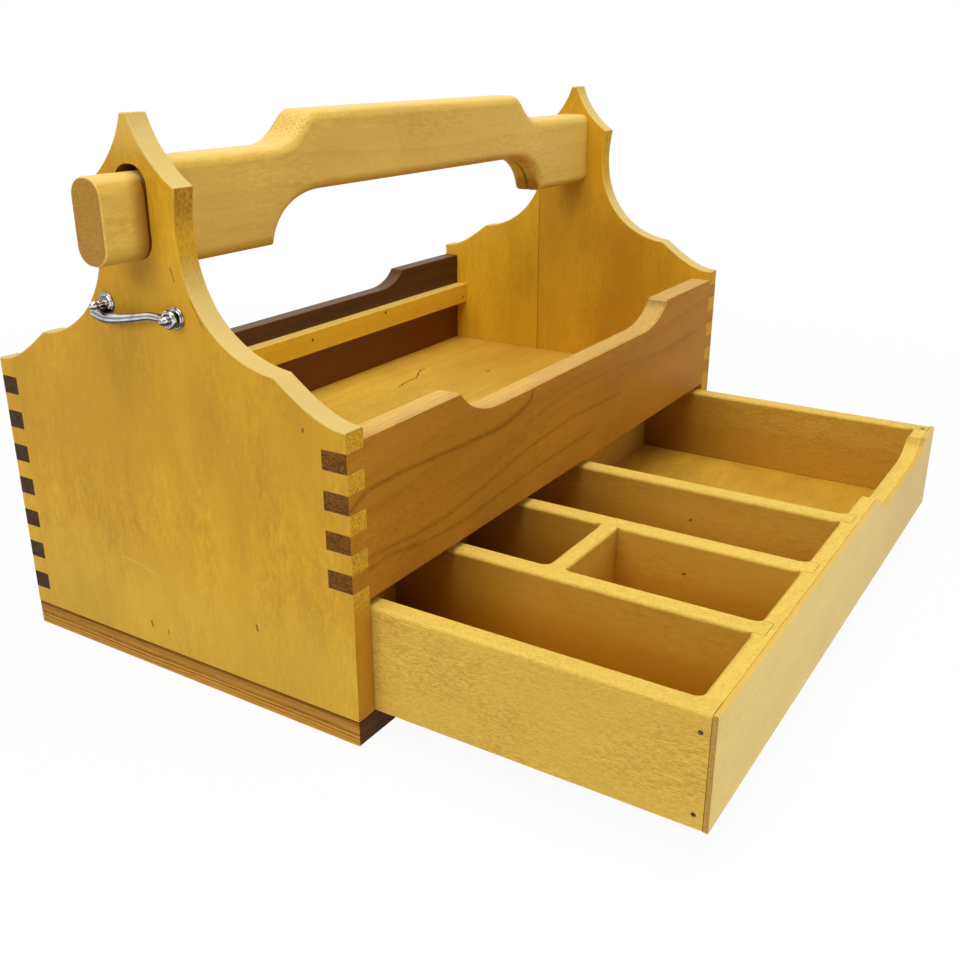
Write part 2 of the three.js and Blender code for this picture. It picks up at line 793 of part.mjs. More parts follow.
function drawerPanel() {
  const reach = drawerInnerHalf + panelHousing - glueLine;
  const low = [-reach, drawerFrontBack - panelHousing + glueLine, panelBottom];
  const high = [reach, drawerBackFront + panelHousing - glueLine, panelTop];
  return piece('drawer_bottom', block(low, high), drawerWood);
}

function dividers() {
  const half = dividerThickness / 2;
  const front = drawerFrontBack - housingDepth + glueLine;
  const back = drawerBackFront + housingDepth - glueLine;
  const seat = panelTop + glueLine;
  const long = dividerCentres().map((x, index) => {
    const board = block([x - half, front, seat], [x + half, back, drawerHeight]);
    return piece(`long_divider_${index + 1}`, carve(board, rimTools()), drawerWood);
  });
  const [first, second] = dividerCentres();
  const low = [first + half + glueLine, crossSetBack, seat];
  const high = [second - half - glueLine, crossSetBack + crossThickness, drawerHeight];
  return [...long, piece('cross_divider', carve(block(low, high), rimTools()), drawerWood)];
}

function drawerNails() {
  return drawerNailPlaces().map((place, index) => (
    piece(`drawer_nail_${index + 1}`, placedDrawerNail(place, 0), nailSteel)
  ));
}

function drawer() {
  const group = new THREE.Group();
  group.add(drawerSide(-1), drawerSide(1), drawerFront(), drawerFacing(), drawerBack(), drawerPanel());
  group.add(...dividers(), ...drawerNails());
  group.position.set(0, -halfDepth - drawerOut, baseThickness + runningGap);
  return group;
}

function carcass() {
  const group = new THREE.Group();
  group.add(leftEndBoard(), ...rightEndPlanks(), frontBoard(), backBoard(), trayFloor(), ...ledge());
  group.add(handle(), ...studs(), hookArm());
  group.position.z = carcassBase;
  return group;
}

const chest = new THREE.Group();
chest.add(baseBoard(), ...baseScrews(), carcass(), drawer());

export default chest;
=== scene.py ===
"""A carpenter's wooden tool chest with a carrying handle, an open tray and a drawer pulled out in front."""
import math

import bmesh
import bpy
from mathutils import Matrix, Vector


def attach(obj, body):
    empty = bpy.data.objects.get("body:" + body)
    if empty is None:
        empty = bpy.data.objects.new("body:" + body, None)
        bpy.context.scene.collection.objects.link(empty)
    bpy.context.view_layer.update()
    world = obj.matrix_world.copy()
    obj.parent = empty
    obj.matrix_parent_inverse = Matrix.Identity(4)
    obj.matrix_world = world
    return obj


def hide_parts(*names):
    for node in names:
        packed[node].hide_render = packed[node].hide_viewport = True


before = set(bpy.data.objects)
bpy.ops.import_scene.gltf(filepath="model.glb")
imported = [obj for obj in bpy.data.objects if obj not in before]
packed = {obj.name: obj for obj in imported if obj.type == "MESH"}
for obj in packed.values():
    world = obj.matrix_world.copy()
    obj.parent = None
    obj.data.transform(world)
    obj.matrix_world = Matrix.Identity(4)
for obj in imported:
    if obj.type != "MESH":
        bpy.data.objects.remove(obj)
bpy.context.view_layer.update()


# The camera stands to the left of the chest's front corner, a little above the handle,
# and looks down on the open drawer.
def stand(name, data, place=(0, 0, 0), way=None):
    """Puts something in the scene at a place; a camera or a lamp is turned to look along a way."""
    made = bpy.data.objects.new(name, data)
    made.location = place
    if way:
        made.rotation_mode = "QUATERNION"
        made.rotation_quaternion = way.to_track_quat("-Z", "Y")
    bpy.context.scene.collection.objects.link(made)
    return made


camera_place = (-0.5560, -0.3950, 0.3082)
camera_turn, camera_tilt = math.radians(-57.924), math.radians(21.563)
looking_back = Vector((math.sin(camera_turn) * math.cos(camera_tilt),
                       -math.cos(camera_turn) * math.cos(camera_tilt), math.sin(camera_tilt)))
camera_data = bpy.data.cameras.new("camera")
camera_data.sensor_width, camera_data.lens, camera_data.clip_start = 36, 40.79, 0.02
bpy.context.scene.camera = stand("camera", camera_data, camera_place, -looking_back)
bpy.context.scene.view_settings.view_transform = "Standard"


# The bench that the chest stands on is plain and white, and keeps a soft shadow under the chest.
# The room round it is dim, but the camera and whatever shines see it white.
def node(tree, kind, feeds=None, **settings):
    """Adds one node, with its settings, and feeds its inputs with values or other nodes' outputs."""
    made = tree.nodes.new(kind)
    for key, value in settings.items():
        setattr(made, key, value)
    for socket, value in (feeds or {}).items():
        if isinstance(value, bpy.types.NodeSocket):
            tree.links.new(value, made.inputs[socket])
        else:
            made.inputs[socket].default_value = value
    return made


def wire(tree, kind, feeds=None, **settings):
    """Adds one shader node and gives its outputs."""
    return node(tree, "ShaderNode" + kind, feeds, **settings).outputs


def sums(tree, operation, first, second=0.0, third=0.0, clamp=False):
    """One arithmetic step between numbers or sockets."""
    return wire(tree, "Math", {0: first, 1: second, 2: third}, operation=operation, use_clamp=clamp)[0]


def vectors(tree, operation, first, second=(0, 0, 0)):
    """One arithmetic step between places, directions or colours; a length comes out as a number."""
    made = wire(tree, "VectorMath", {0: first, 1: second}, operation=operation)
    return made["Value" if operation in ("LENGTH", "DISTANCE", "DOT_PRODUCT") else "Vector"]


def times(tree, product, *factors):
    """Multiplies numbers or sockets."""
    for factor in factors:
        product = sums(tree, "MULTIPLY", product, factor)
    return product


def ramp(tree, value, low, high, first=0.0, last=1.0):
    """Turns a value between low and high smoothly into one between first and last."""
    return wire(tree, "MapRange", {0: value, 1: low, 2: high, 3: first, 4: last},
                interpolation_type="SMOOTHSTEP")[0]


def emptied(owner):
    """The node tree of a new material or world, with nothing in it."""
    owner.use_nodes = True
    owner.node_tree.nodes.clear()
    return owner.node_tree


def seen_directly(tree):
    """One where the camera, a mirror-like surface or glass looks straight at the surface."""
    path = wire(tree, "LightPath")
    shiny = sums(tree, "MAXIMUM", path["Is Glossy Ray"], path["Is Transmission Ray"])
    return sums(tree, "MAXIMUM", path["Is Camera Ray"], shiny)


bench_half, bench_drop = 6.0, 0.0004
bench_corners = [(-bench_half, -bench_half), (bench_half, -bench_half), (bench_half, bench_half),
                 (-bench_half, bench_half)]
bench_mesh = bpy.data.meshes.new("bench")
bench_mesh.from_pydata([(x, y, -bench_drop) for x, y in bench_corners], [], [(0, 1, 2, 3)])
bench = stand("bench", bench_mesh)

shadow_starts, shadow_ends, white_by_the_chest = 0.35, 0.95, 0.95
bench_paint = bpy.data.materials.new("white bench")
tree = emptied(bench_paint)
matt = wire(tree, "BsdfDiffuse", {"Color": (0.82, 0.81, 0.79, 1)})[0]
white = wire(tree, "Emission", {"Color": (1, 1, 1, 1), "Strength": 1.0})[0]
far = vectors(tree, "LENGTH", wire(tree, "TexCoord")["Object"])
far = ramp(tree, far, shadow_starts, shadow_ends, white_by_the_chest, 1.0)
share = times(tree, seen_directly(tree), far)
wire(tree, "OutputMaterial", {"Surface": wire(tree, "MixShader", {0: share, 1: matt, 2: white})[0]})
bench_mesh.materials.append(bench_paint)

room = bpy.data.worlds.new("room")
tree = emptied(room)
dim = wire(tree, "Background", {"Color": (1.0, 0.985, 0.96, 1), "Strength": 0.24})[0]
white = wire(tree, "Background", {"Color": (1, 1, 1, 1), "Strength": 1.0})[0]
wire(tree, "OutputWorld", {"Surface": wire(tree, "MixShader", {0: seen_directly(tree), 1: dim, 2: white})[0]})
bpy.context.scene.world = room


# Three soft boxes light the chest: a wide one overhead, one at the left by the camera,
# and one low in front.
def soft_box(name, place, aim, width, height, watts):
    """One square lamp at a place, turned to face a point."""
    lamp = bpy.data.lights.new(name, "AREA")
    lamp.shape, lamp.size, lamp.size_y, lamp.energy = "RECTANGLE", width, height, watts
    lamp.color = (1.0, 0.98, 0.95)
    stand(name, lamp, place, Vector(aim) - Vector(place))


soft_box("overhead soft box", (-0.15, -0.35, 1.75), (0.0, -0.05, 0.1), 1.5, 1.3, 27)
soft_box("left soft box", (-1.6, 0.15, 0.95), (-0.1, 0.0, 0.12), 0.9, 0.9, 11)
soft_box("front soft box", (0.55, -1.9, 0.75), (0.0, -0.1, 0.1), 1.2, 0.9, 8)


# The base board is one brown board under the whole chest, flush with it all round.
# It has a coarse, straight grain, and its edges are a little rounded.
def tone(colour):
    """A paint-chart colour, its red, green and blue from 0 to 255, as the shaders take it."""
    shares = [value / 255 for value in colour]
    return (*[s / 12.92 if s <= 0.04045 else ((s + 0.055) / 1.055) ** 2.4 for s in shares], 1.0)


def sockets(group, sort, rows):
    """Adds named inputs or outputs to a node group, with the values they start from."""
    kinds = {"F": "Float", "C": "Color", "V": "Vector", "I": "Int", "M": "Material", "G": "Geometry"}
    for name, kind, *value in rows:
        made = group.interface.new_socket(name=name, in_out=sort, socket_type="NodeSocket" + kinds[kind])
        if value:
            made.default_value = value[0]


def plus(tree, total, *others, clamp=False):
    """Adds numbers or sockets; clamp keeps the whole between nought and one."""
    for other in others:
        total = sums(tree, "ADD", total, other, clamp=clamp and other is others[-1])
    return total


def less(tree, total, *others):
    """Takes numbers or sockets away from the first one."""
    for other in others:
        total = sums(tree, "SUBTRACT", total, other)
    return total


def scaled(tree, place, by):
    """Makes a place, a direction or a colour larger by a number."""
    return wire(tree, "VectorMath", {0: place, "Scale": by}, operation="SCALE")[0]


def blend(tree, amount, first, second):
    """Mixes two colours by an amount."""
    return wire(tree, "Mix", {"Factor": amount, 6: first, 7: second}, data_type="RGBA", clamp_factor=True)[2]


def cloud(tree, place, stretch, detail, rough, shift=0.0):
    """A noise whose grain size is set apart for each direction, in patches per millimetre."""
    moved = wire(tree, "VectorMath", {0: place, 1: stretch, 2: (shift, shift * 0.7, shift * 1.3)},
                 operation="MULTIPLY_ADD")[0]
    return wire(tree, "TexNoise", {"Vector": moved, "Scale": 1.0, "Detail": detail, "Roughness": rough})


solid_wood = bpy.data.node_groups.new("solid wood", "ShaderNodeTree")
sockets(solid_wood, "INPUT", [
    ("Place", "V"), ("End grain", "F", 0.0), ("Spring wood", "C"), ("Summer wood", "C"), ("Pore", "C"),
    ("Ring width", "F", 6.0), ("Rings", "F", 0.5), ("Ring start", "F", 0.25), ("Waviness", "F", 8.0),
    ("Fibres", "F", 0.3), ("Pores", "F", 0.3), ("Figure", "F", 0.2), ("Dapple", "F", 0.3),
    ("Fleck", "F", 0.1), ("Ripple", "F", 0.0), ("Dark ends", "F", 0.4), ("Gloss", "F", 0.5)])
sockets(solid_wood, "OUTPUT", [("Colour", "C"), ("Roughness", "F"), ("Height", "F")])
tree = solid_wood
given = tree.nodes.new("NodeGroupInput").outputs
place = given["Place"]
# growth rings round a pith line along Z, bent by slow waves
sway = cloud(tree, place, (0.011, 0.011, 0.0045), 2.0, 0.5)["Color"]
sway = vectors(tree, "SUBTRACT", sway, (0.5, 0.5, 0.5))
bent = vectors(tree, "ADD", place, scaled(tree, sway, given["Waviness"]))
radius = vectors(tree, "LENGTH", vectors(tree, "MULTIPLY", bent, (1, 1, 0)))
turns = sums(tree, "DIVIDE", radius, given["Ring width"])
uneven = wire(tree, "TexNoise", {"W": times(tree, turns, 0.45), "Scale": 1.0, "Detail": 2.0},
              noise_dimensions="1D")[0]
turns = plus(tree, turns, times(tree, uneven, 1.6))
through = sums(tree, "FRACT", turns)
each = wire(tree, "TexWhiteNoise", {"W": sums(tree, "FLOOR", turns)}, noise_dimensions="1D")["Value"]
rings = times(tree, ramp(tree, through, given["Ring start"], 0.9), ramp(tree, through, 0.93, 1.0, 1.0, 0.0),
              ramp(tree, each, 0.0, 1.0, 0.35, 1.0))
# fibres and pores run with the grain, figure and dapple lie across it
fibre = cloud(tree, place, (0.9, 0.9, 0.05), 4.0, 0.7)[0]
hair = cloud(tree, place, (3.6, 3.6, 0.5), 2.0, 0.5, 7.0)[0]
pores = ramp(tree, cloud(tree, place, (2.3, 2.3, 0.27), 2.0, 0.55, 13.0)[0], 0.58, 0.74)
figure = cloud(tree, place, (0.026, 0.026, 0.011), 3.0, 0.6, 3.0)[0]
patchy = ramp(tree, cloud(tree, place, (0.035, 0.035, 0.016), 2.0, 0.5, 31.0)[0], 0.36, 0.62, 0.25, 1.0)
dapple = cloud(tree, place, (0.42, 0.42, 0.15), 4.0, 0.7, 5.0)[0]
ripple = ramp(tree, cloud(tree, place, (1.6, 1.6, 0.38), 3.0, 0.6, 27.0)[0], 0.42, 0.62)
ripple = times(tree, ripple, sums(tree, "MULTIPLY_ADD", patchy, 0.55, 0.45), given["Ripple"])
amount = plus(tree, times(tree, rings, given["Rings"]),
              times(tree, less(tree, fibre, 0.46), given["Fibres"], 2.6),
              times(tree, less(tree, hair, 0.5), given["Fibres"]), clamp=True)
colour = blend(tree, amount, given["Spring wood"], given["Summer wood"])
# where the wood is darker it is redder too
light = plus(tree, times(tree, less(tree, figure, 0.5), given["Figure"]),
             times(tree, less(tree, dapple, 0.5), given["Dapple"], patchy, 2.0), 1.0)
green, blue = sums(tree, "POWER", light, 1.2), sums(tree, "POWER", light, 1.7)
colour = vectors(tree, "MULTIPLY", colour, wire(tree, "CombineXYZ", {0: light, 1: green, 2: blue})[0])
colour = blend(tree, times(tree, ripple, 0.3), colour, given["Pore"])
open_pores = times(tree, pores, patchy, given["Pores"])
colour = blend(tree, open_pores, colour, given["Pore"])
flecks = ramp(tree, cloud(tree, place, (1.1, 1.1, 0.42), 3.0, 0.6, 21.0)[0], 0.54, 0.68)
pale = scaled(tree, given["Spring wood"], 1.22)
colour = blend(tree, times(tree, flecks, patchy, given["Fleck"]), colour, pale)
# the cut ends drink more oil: darker, speckled and duller
speckle = ramp(tree, cloud(tree, place, (1.25, 1.25, 0.42), 4.0, 0.72, 17.0)[0], 0.42, 0.66)
ends = blend(tree, times(tree, speckle, 0.5), colour, given["Pore"])
ends = blend(tree, given["Dark ends"], ends, given["Pore"])
colour = blend(tree, given["End grain"], colour, ends)
dull = plus(tree, given["Gloss"], times(tree, open_pores, 0.25), times(tree, given["End grain"], 0.22),
            times(tree, less(tree, dapple, 0.5), 0.18), clamp=True)
height = plus(tree, times(tree, fibre, 0.5), times(tree, dapple, given["Dapple"], 1.6))
height = less(tree, height, open_pores, times(tree, given["End grain"], speckle, 0.8), ripple)
node(tree, "NodeGroupOutput", {"Colour": colour, "Roughness": dull, "Height": height})


GRAIN_TURN = {"X": (0, -math.pi / 2, 0), "Y": (math.pi / 2, 0, 0), "Z": (0, 0, 0)}
END_SHARE = {"X": (1, 0, 0), "Y": (0, 1, 0), "Z": (0, 0, 1)}


def wood_finish(name, grain, pith, spring, summer, pore=(116, 70, 12), relief=0.00012, ends=None,
                ends_from=0.55, tilt=0.0, shine=0.2, **figure):
    """An oiled solid wood: grain is the way it runs, and pith says in mm how far off the tree's heart lay."""
    made = bpy.data.materials.new(name)
    tree = emptied(made)
    spot = wire(tree, "TexCoord")
    along = GRAIN_TURN[grain]
    turned = wire(tree, "Mapping", {"Vector": spot["Object"], "Location": pith, "Scale": (1000, 1000, 1000),
                                    "Rotation": (along[0], along[1] + math.radians(tilt), along[2])})[0]
    facing = sums(tree, "ABSOLUTE", vectors(tree, "DOT_PRODUCT", spot["Normal"], END_SHARE[ends or grain]))
    cut_end = ramp(tree, facing, ends_from, ends_from + 0.1)
    feeds = {"Place": turned, "End grain": cut_end, "Spring wood": tone(spring), "Summer wood": tone(summer),
             "Pore": tone(pore)}
    feeds.update({key.replace("_", " ").capitalize(): value for key, value in figure.items()})
    wood = wire(tree, "Group", feeds, node_tree=solid_wood)
    bump = wire(tree, "Bump", {"Height": wood["Height"], "Strength": 0.6, "Distance": relief})[0]
    # the eased arrises are lighter: partly wear, partly a painted highlight along them
    arris = wire(tree, "Attribute", attribute_name="eased")["Fac"]
    rubbed_and_highlit = scaled(tree, wood["Colour"], 1.3)
    colour = blend(tree, times(tree, arris, 0.3), wood["Colour"], rubbed_and_highlit)
    body = wire(tree, "BsdfPrincipled", {"Base Color": colour, "Roughness": wood["Roughness"],
                                         "Normal": bump, "Specular IOR Level": shine})
    wire(tree, "OutputMaterial", {"Surface": body[0]})
    return made


def in_mm(tree):
    """Where a point of the piece lies, in millimetres."""
    return scaled(tree, wire(tree, "TexCoord")["Object"], 1000.0)


def leans(way, low, high):
    """A mask for what leans towards a direction; it rises between two values of the lean."""
    return lambda tree: ramp(
        tree, vectors(tree, "DOT_PRODUCT", wire(tree, "TexCoord")["Normal"], way), low, high)


def within(fade, **spans):
    """A mask for a box with soft edges: its spans along x, y and z are in mm, and None is an open side."""
    def mask(tree):
        places, share = wire(tree, "SeparateXYZ", {0: in_mm(tree)}), 1.0
        for axis, (low, high) in spans.items():
            for edge, first, last in ((low, 0.0, 1.0), (high, 1.0, 0.0)):
                if edge is not None:
                    soft = ramp(tree, places[axis.upper()], edge - fade, edge + fade, first, last)
                    share = times(tree, share, soft)
        return share
    return mask


def stain(finish, colour, strength, *masks):
    """Lays a colour over the finish where all of the masks say."""
    tree = finish.node_tree
    body = next(n for n in tree.nodes if n.bl_idname == "ShaderNodeBsdfPrincipled")
    under = body.inputs["Base Color"].links[0].from_socket
    amount = times(tree, *[mask(tree) for mask in masks], strength)
    tree.links.new(blend(tree, amount, under, tone(colour)), body.inputs["Base Color"])


def eased_board(part_name, name, finish, body, narrow, wide=0.0, wider=None, skip=None):
    """A copy of a packed board with its sharp arrises eased: narrow everywhere, wide where asked."""
    mesh = bpy.data.meshes.new(name)
    work = bmesh.new()
    work.from_mesh(packed[part_name].data)
    bmesh.ops.remove_doubles(work, verts=work.verts, dist=0.000003)
    bmesh.ops.dissolve_limit(work, angle_limit=math.radians(0.4), verts=work.verts, edges=work.edges)
    share = work.edges.layers.float.new("bevel_weight_edge")
    for face in work.faces:
        face.material_index = 0
    most = max(narrow, wide)
    for edge in work.edges:
        if len(edge.link_faces) != 2 or not edge.is_convex or edge.calc_face_angle() < math.radians(38):
            continue
        ends = [corner.co for corner in edge.verts]
        middle, run = (ends[0] + ends[1]) / 2, ends[1] - ends[0]
        if skip and skip(middle, run):
            continue
        edge[share] = (wide if wider and wider(middle, run) else narrow) / most
    work.to_mesh(mesh)
    work.free()
    board = stand(name, mesh)
    ease = board.modifiers.new("eased arrises", "BEVEL")
    ease.limit_method, ease.width, ease.segments, ease.use_clamp_overlap = "WEIGHT", most, 3, False
    mesh.materials.append(finish)
    mesh.materials.append(finish)
    ease.material = 1
    finished = bpy.data.meshes.new_from_object(board.evaluated_get(bpy.context.evaluated_depsgraph_get()))
    on_arris = [float(face.material_index) for face in finished.polygons]
    finished.attributes.new("eased", "FLOAT", "FACE").data.foreach_set("value", on_arris)
    finished.polygons.foreach_set("material_index", [0] * len(finished.polygons))
    board.modifiers.clear()
    board.data = finished
    bpy.data.meshes.remove(mesh)
    crisp = bmesh.new()
    crisp.from_mesh(finished)
    for face in crisp.faces:
        face.smooth = True
    for edge in crisp.edges:
        edge.smooth = len(edge.link_faces) == 2 and edge.calc_face_angle() < math.radians(50)
    crisp.to_mesh(finished)
    crisp.free()
    board.modifiers.new("even shading", "WEIGHTED_NORMAL").keep_sharp = True
    finished.materials.clear()
    finished.materials.append(finish)
    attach(board, body)
    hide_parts(part_name)


up, forward = (0, 0, 1), (0, -1, 0)
# just inside the chest's outer faces
outer_x, outer_y = 0.2175, 0.1155
brown, dark_brown, brown_pore = (202, 148, 60), (106, 60, 18), (66, 36, 12)
base_wood = wood_finish(
    "base board wood", "Y", (0, 1500, 30), brown, dark_brown, brown_pore, relief=0.0002, ends_from=2.0,
    shine=0.06, ring_width=2.4, rings=0.9, ring_start=0.5, waviness=8.0, fibres=0.6, pores=0.6, figure=0.35,
    fleck=0.15)
# painted shadow: a dark line along the top, where the chest stands on the board
stain(base_wood, (60, 32, 10), 0.75, within(0.5, z=(12.3, None)))
stain(base_wood, (112, 64, 8), 0.35, within(1.6, z=(8.6, None)))
stain(base_wood, (70, 32, 4), 0.88, leans(forward, 0.6, 0.9))
eased_board(
    "base_board", "base", base_wood, "chest", 0.0002, wide=0.0006,
    wider=lambda p, run: abs(p.x) > outer_x or abs(p.y) > outer_y)


# The left end board is one wide board of pale yellow wood, oiled and rubbed down, with its grain upright.
# Its outline was sawn to a pattern, its arrises were eased by hand, and both its corners are finger-jointed.
hairline = bpy.data.node_groups.new("hairline", "ShaderNodeTree")
sockets(hairline, "INPUT", [("Place", "V"), ("From", "V"), ("To", "V"), ("Width", "F", 0.5),
                            ("Wander", "F", 1.0)])
sockets(hairline, "OUTPUT", [("Mask", "F")])
tree = hairline
given = tree.nodes.new("NodeGroupInput").outputs
stir = vectors(tree, "SUBTRACT", cloud(tree, given["Place"], (0.35, 0.35, 0.35), 2.0, 0.6, 2.0)["Color"],
               (0.5, 0.5, 0.5))
point = vectors(tree, "ADD", given["Place"], scaled(tree, stir, given["Wander"]))
run = vectors(tree, "SUBTRACT", given["To"], given["From"])
away = vectors(tree, "SUBTRACT", point, given["From"])
part = sums(tree, "DIVIDE", vectors(tree, "DOT_PRODUCT", away, run), vectors(tree, "DOT_PRODUCT", run, run),
            clamp=True)
gap = vectors(tree, "DISTANCE", away, scaled(tree, run, part))
mask = ramp(tree, sums(tree, "DIVIDE", gap, given["Width"]), 0.35, 1.0, 1.0, 0.0)
node(tree, "NodeGroupOutput", {"Mask": mask})


def draw_lines(finish, points, width, wander, colour, strength):
    """Stains a chain of ragged hairlines through the points, in mm."""
    def mask(tree):
        place, whole = in_mm(tree), None
        for start, stop in zip(points, points[1:]):
            feeds = {"Place": place, "From": start, "To": stop, "Width": width, "Wander": wander}
            one = wire(tree, "Group", feeds, node_tree=hairline)["Mask"]
            whole = one if whole is None else sums(tree, "MAXIMUM", whole, one)
        return whole
    stain(finish, colour, strength, mask)


def grains(size, low, high):
    """A mask that breaks a stain up into grains."""
    return lambda tree: ramp(tree, cloud(tree, in_mm(tree), size, 3.0, 0.65, 41.0)[0], low, high)


golden, amber = (203, 155, 34), (172, 119, 16)
near_black, highlight_gold = (70, 40, 14), (206, 184, 114)
upright = {"ends": "Y", "ends_from": 0.84, "dark_ends": 0.0}
left_wood = wood_finish(
    "left end board wood", "Z", (160, 40, 0), golden, amber, ring_width=16.0, rings=0.1, waviness=34.0,
    fibres=0.14, pores=0.34, figure=0.75, dapple=0.36, fleck=0.3, **upright)
# painted light: the board is darker round the neck and paler near the base, where the bench lights it from
# below; it is paler at the tip, and every upward face all along its crest gets a painted highlight
stain(left_wood, (184, 134, 34), 0.25, within(24.0, z=(118, 236)))
stain(left_wood, (216, 180, 66), 0.34, within(26.0, z=(None, 62)))
stain(left_wood, (226, 192, 100), 0.5, within(9.0, z=(268, None)))
stain(left_wood, highlight_gold, 0.8, leans(up, 0.08, 0.5))
# the mortise's walls, darkened as a painted shadow in the gap round the tenon, the neck's front edge, the
# fingers' ends, and the front edge by the drawer
stain(left_wood, (112, 62, 20), 0.8, within(0.2, x=(-217.6, -206.5), y=(-11, 11), z=(219.2, 262.6)))
stain(left_wood, (150, 98, 30), 1.0, leans(forward, 0.8, 0.95), within(7.0, z=(238, 258)),
      grains((0.9, 0.9, 0.5), 0.3, 0.74))
finger_ends = leans(forward, 0.9, 0.97), within(3.0, z=(72, 157))
stain(left_wood, (226, 178, 48), 0.5, *finger_ends)
stain(left_wood, (164, 116, 22), 1.0, *finger_ends, grains((0.9, 0.9, 0.9), 0.5, 0.62))
stain(left_wood, (188, 118, 0), 0.5, leans(forward, 0.8, 0.95), within(8.0, z=(None, 72)))
# painted shade: the face under the tenon is darker, as in the tenon's shadow
stain(left_wood, (158, 104, 24), 0.35, within(5.0, x=(None, -217.9), y=(-14, 8), z=(205, 221)))
stain(left_wood, (150, 98, 40), 0.34, within(1.6, x=(None, -217.9), y=(-3, 6), z=(208, 216)))
outer_face = -218
for y, z, to_y, to_z, width in ((21.6, 27.6, 21.3, 24.6, 0.875), (9.5, 25.6, 9.3, 23.4, 0.5625),
                                (-54.8, 47.4, -55.0, 44.6, 0.9375), (-92.5, 155.0, -92.4, 154.1, 0.875),
                                (-20.1, 217.8, -22.1, 211.8, 0.5), (-30.6, 204.5, -37.6, 192.2, 0.375)):
    draw_lines(left_wood, ((outer_face, y, z), (outer_face, to_y, to_z)), width, 1.2, near_black, 0.75)
scratch = [(outer_face, y, z) for y, z in ((38, 61.4), (24, 59.6), (11, 56.2))]
draw_lines(left_wood, scratch, 0.5, 1.0, (226, 190, 100), 0.5)


finger_top = 0.157


def crest_arris(p, run):
    """The long arrises of an end board's crest, rounded by hand; not the mortise's, nor those across it."""
    in_mortise = abs(p.y) < 0.0125 and 0.214 < p.z < 0.264
    return p.z > finger_top and not in_mortise and abs(run.x) < 0.001


def kept_sharp_on_the_left(p, run):
    """The inner arrises below the crest, and those by the studs."""
    by_a_stud = abs(p.z - 0.196) < 0.004 and abs(p.y) < 0.029
    return (p.x > -outer_x and p.z < finger_top) or by_a_stud


eased_board(
    "left_end_board", "left_end", left_wood, "chest", 0.00018, wide=0.0009, wider=crest_arris,
    skip=kept_sharp_on_the_left)


# The right end is shaped like the left one, but is glued up from two planks, the front one a shade darker.
# Their thin glue line shows on the inside.
right_front_wood = wood_finish(
    "right front plank wood", "Z", (90, -60, 0), (214, 162, 34), (184, 126, 12), ring_width=11.0, rings=0.2,
    waviness=24.0, fibres=0.14, pores=0.2, figure=0.7, dapple=0.24, fleck=0.2, **upright)
right_rear_wood = wood_finish(
    "right rear plank wood", "Z", (60, 120, 0), (222, 172, 36), (192, 134, 14), ring_width=9.0, rings=0.18,
    waviness=20.0, fibres=0.12, pores=0.15, figure=0.5, dapple=0.2, fleck=0.2, **upright)
# painted shade: a darker, more orange patch on the front plank's inner face
stain(right_front_wood, (160, 96, 2), 0.4, leans((-1, 0, 0), 0.6, 0.9),
      within(20.0, y=(-76, -22), z=(None, 190)))
inner_face, joint = 206, 27.6
for part_name, name, finish in (("right_end_front_plank", "right_end_front", right_front_wood),
                                ("right_end_rear_plank", "right_end_rear", right_rear_wood)):
    draw_lines(finish, ((inner_face, joint, 10), (inner_face, joint, 290)), 0.4, 0.1, (120, 74, 18), 0.7)
    # painted highlight: upward faces are pale, as lit from above
    stain(finish, highlight_gold, 0.8, leans(up, 0.08, 0.5))
    eased_board(
        part_name, name, finish, "chest", 0.00018, wide=0.0009, wider=crest_arris,
        skip=lambda p, run: (p.x < outer_x and p.z < finger_top) or abs(p.y - joint / 1000) < 0.0015)


# The front board is of reddish-brown wood with dark flowing grain lines.
# It is finger-jointed to both ends, and its top edge is scooped down between the raised ends.
red_spring, red_summer, red_pore = (179, 122, 36), (142, 88, 22), (78, 42, 14)
front_wood = wood_finish(
    "front board wood", "X", (64, 72, 0), red_spring, red_summer, red_pore, tilt=3.0, shine=0.05,
    ring_width=13.0, rings=0.2, ring_start=0.3, waviness=22.0, pores=0.4, figure=0.5, fleck=0.12,
    dark_ends=0.45)
grain_lines = (
    (0.26, 0.38, ((-219, 120), (-205, 127), (-180, 127.5), (-150, 126), (-120, 124.5), (-98, 123.4),
                  (-82, 124.2), (-68, 126.6), (-58, 130.8), (-55, 137))),
    (0.14, 0.3, ((-218, 92), (-201, 94.4), (-169, 91.9), (-142, 91.7), (-108, 95.6), (-60, 103), (-10, 106),
                 (60, 104))),
    (0.12, 0.3, ((-206, 88), (-192, 90), (-168, 86), (-144, 83.9), (-122, 83.6), (-60, 88), (20, 90))),
    (0.1, 0.14, ((-60, 118), (-10, 124), (60, 122), (120, 117), (190, 118))))
front_face, inner_x = -116, 0.2055
for soft_strength, sharp_strength, run in grain_lines:
    chain = [(x, front_face, z) for x, z in run]
    for width, strength in ((2.4, soft_strength), (0.7, sharp_strength)):
        draw_lines(front_wood, chain, width, 3.0, (92, 50, 16), strength)
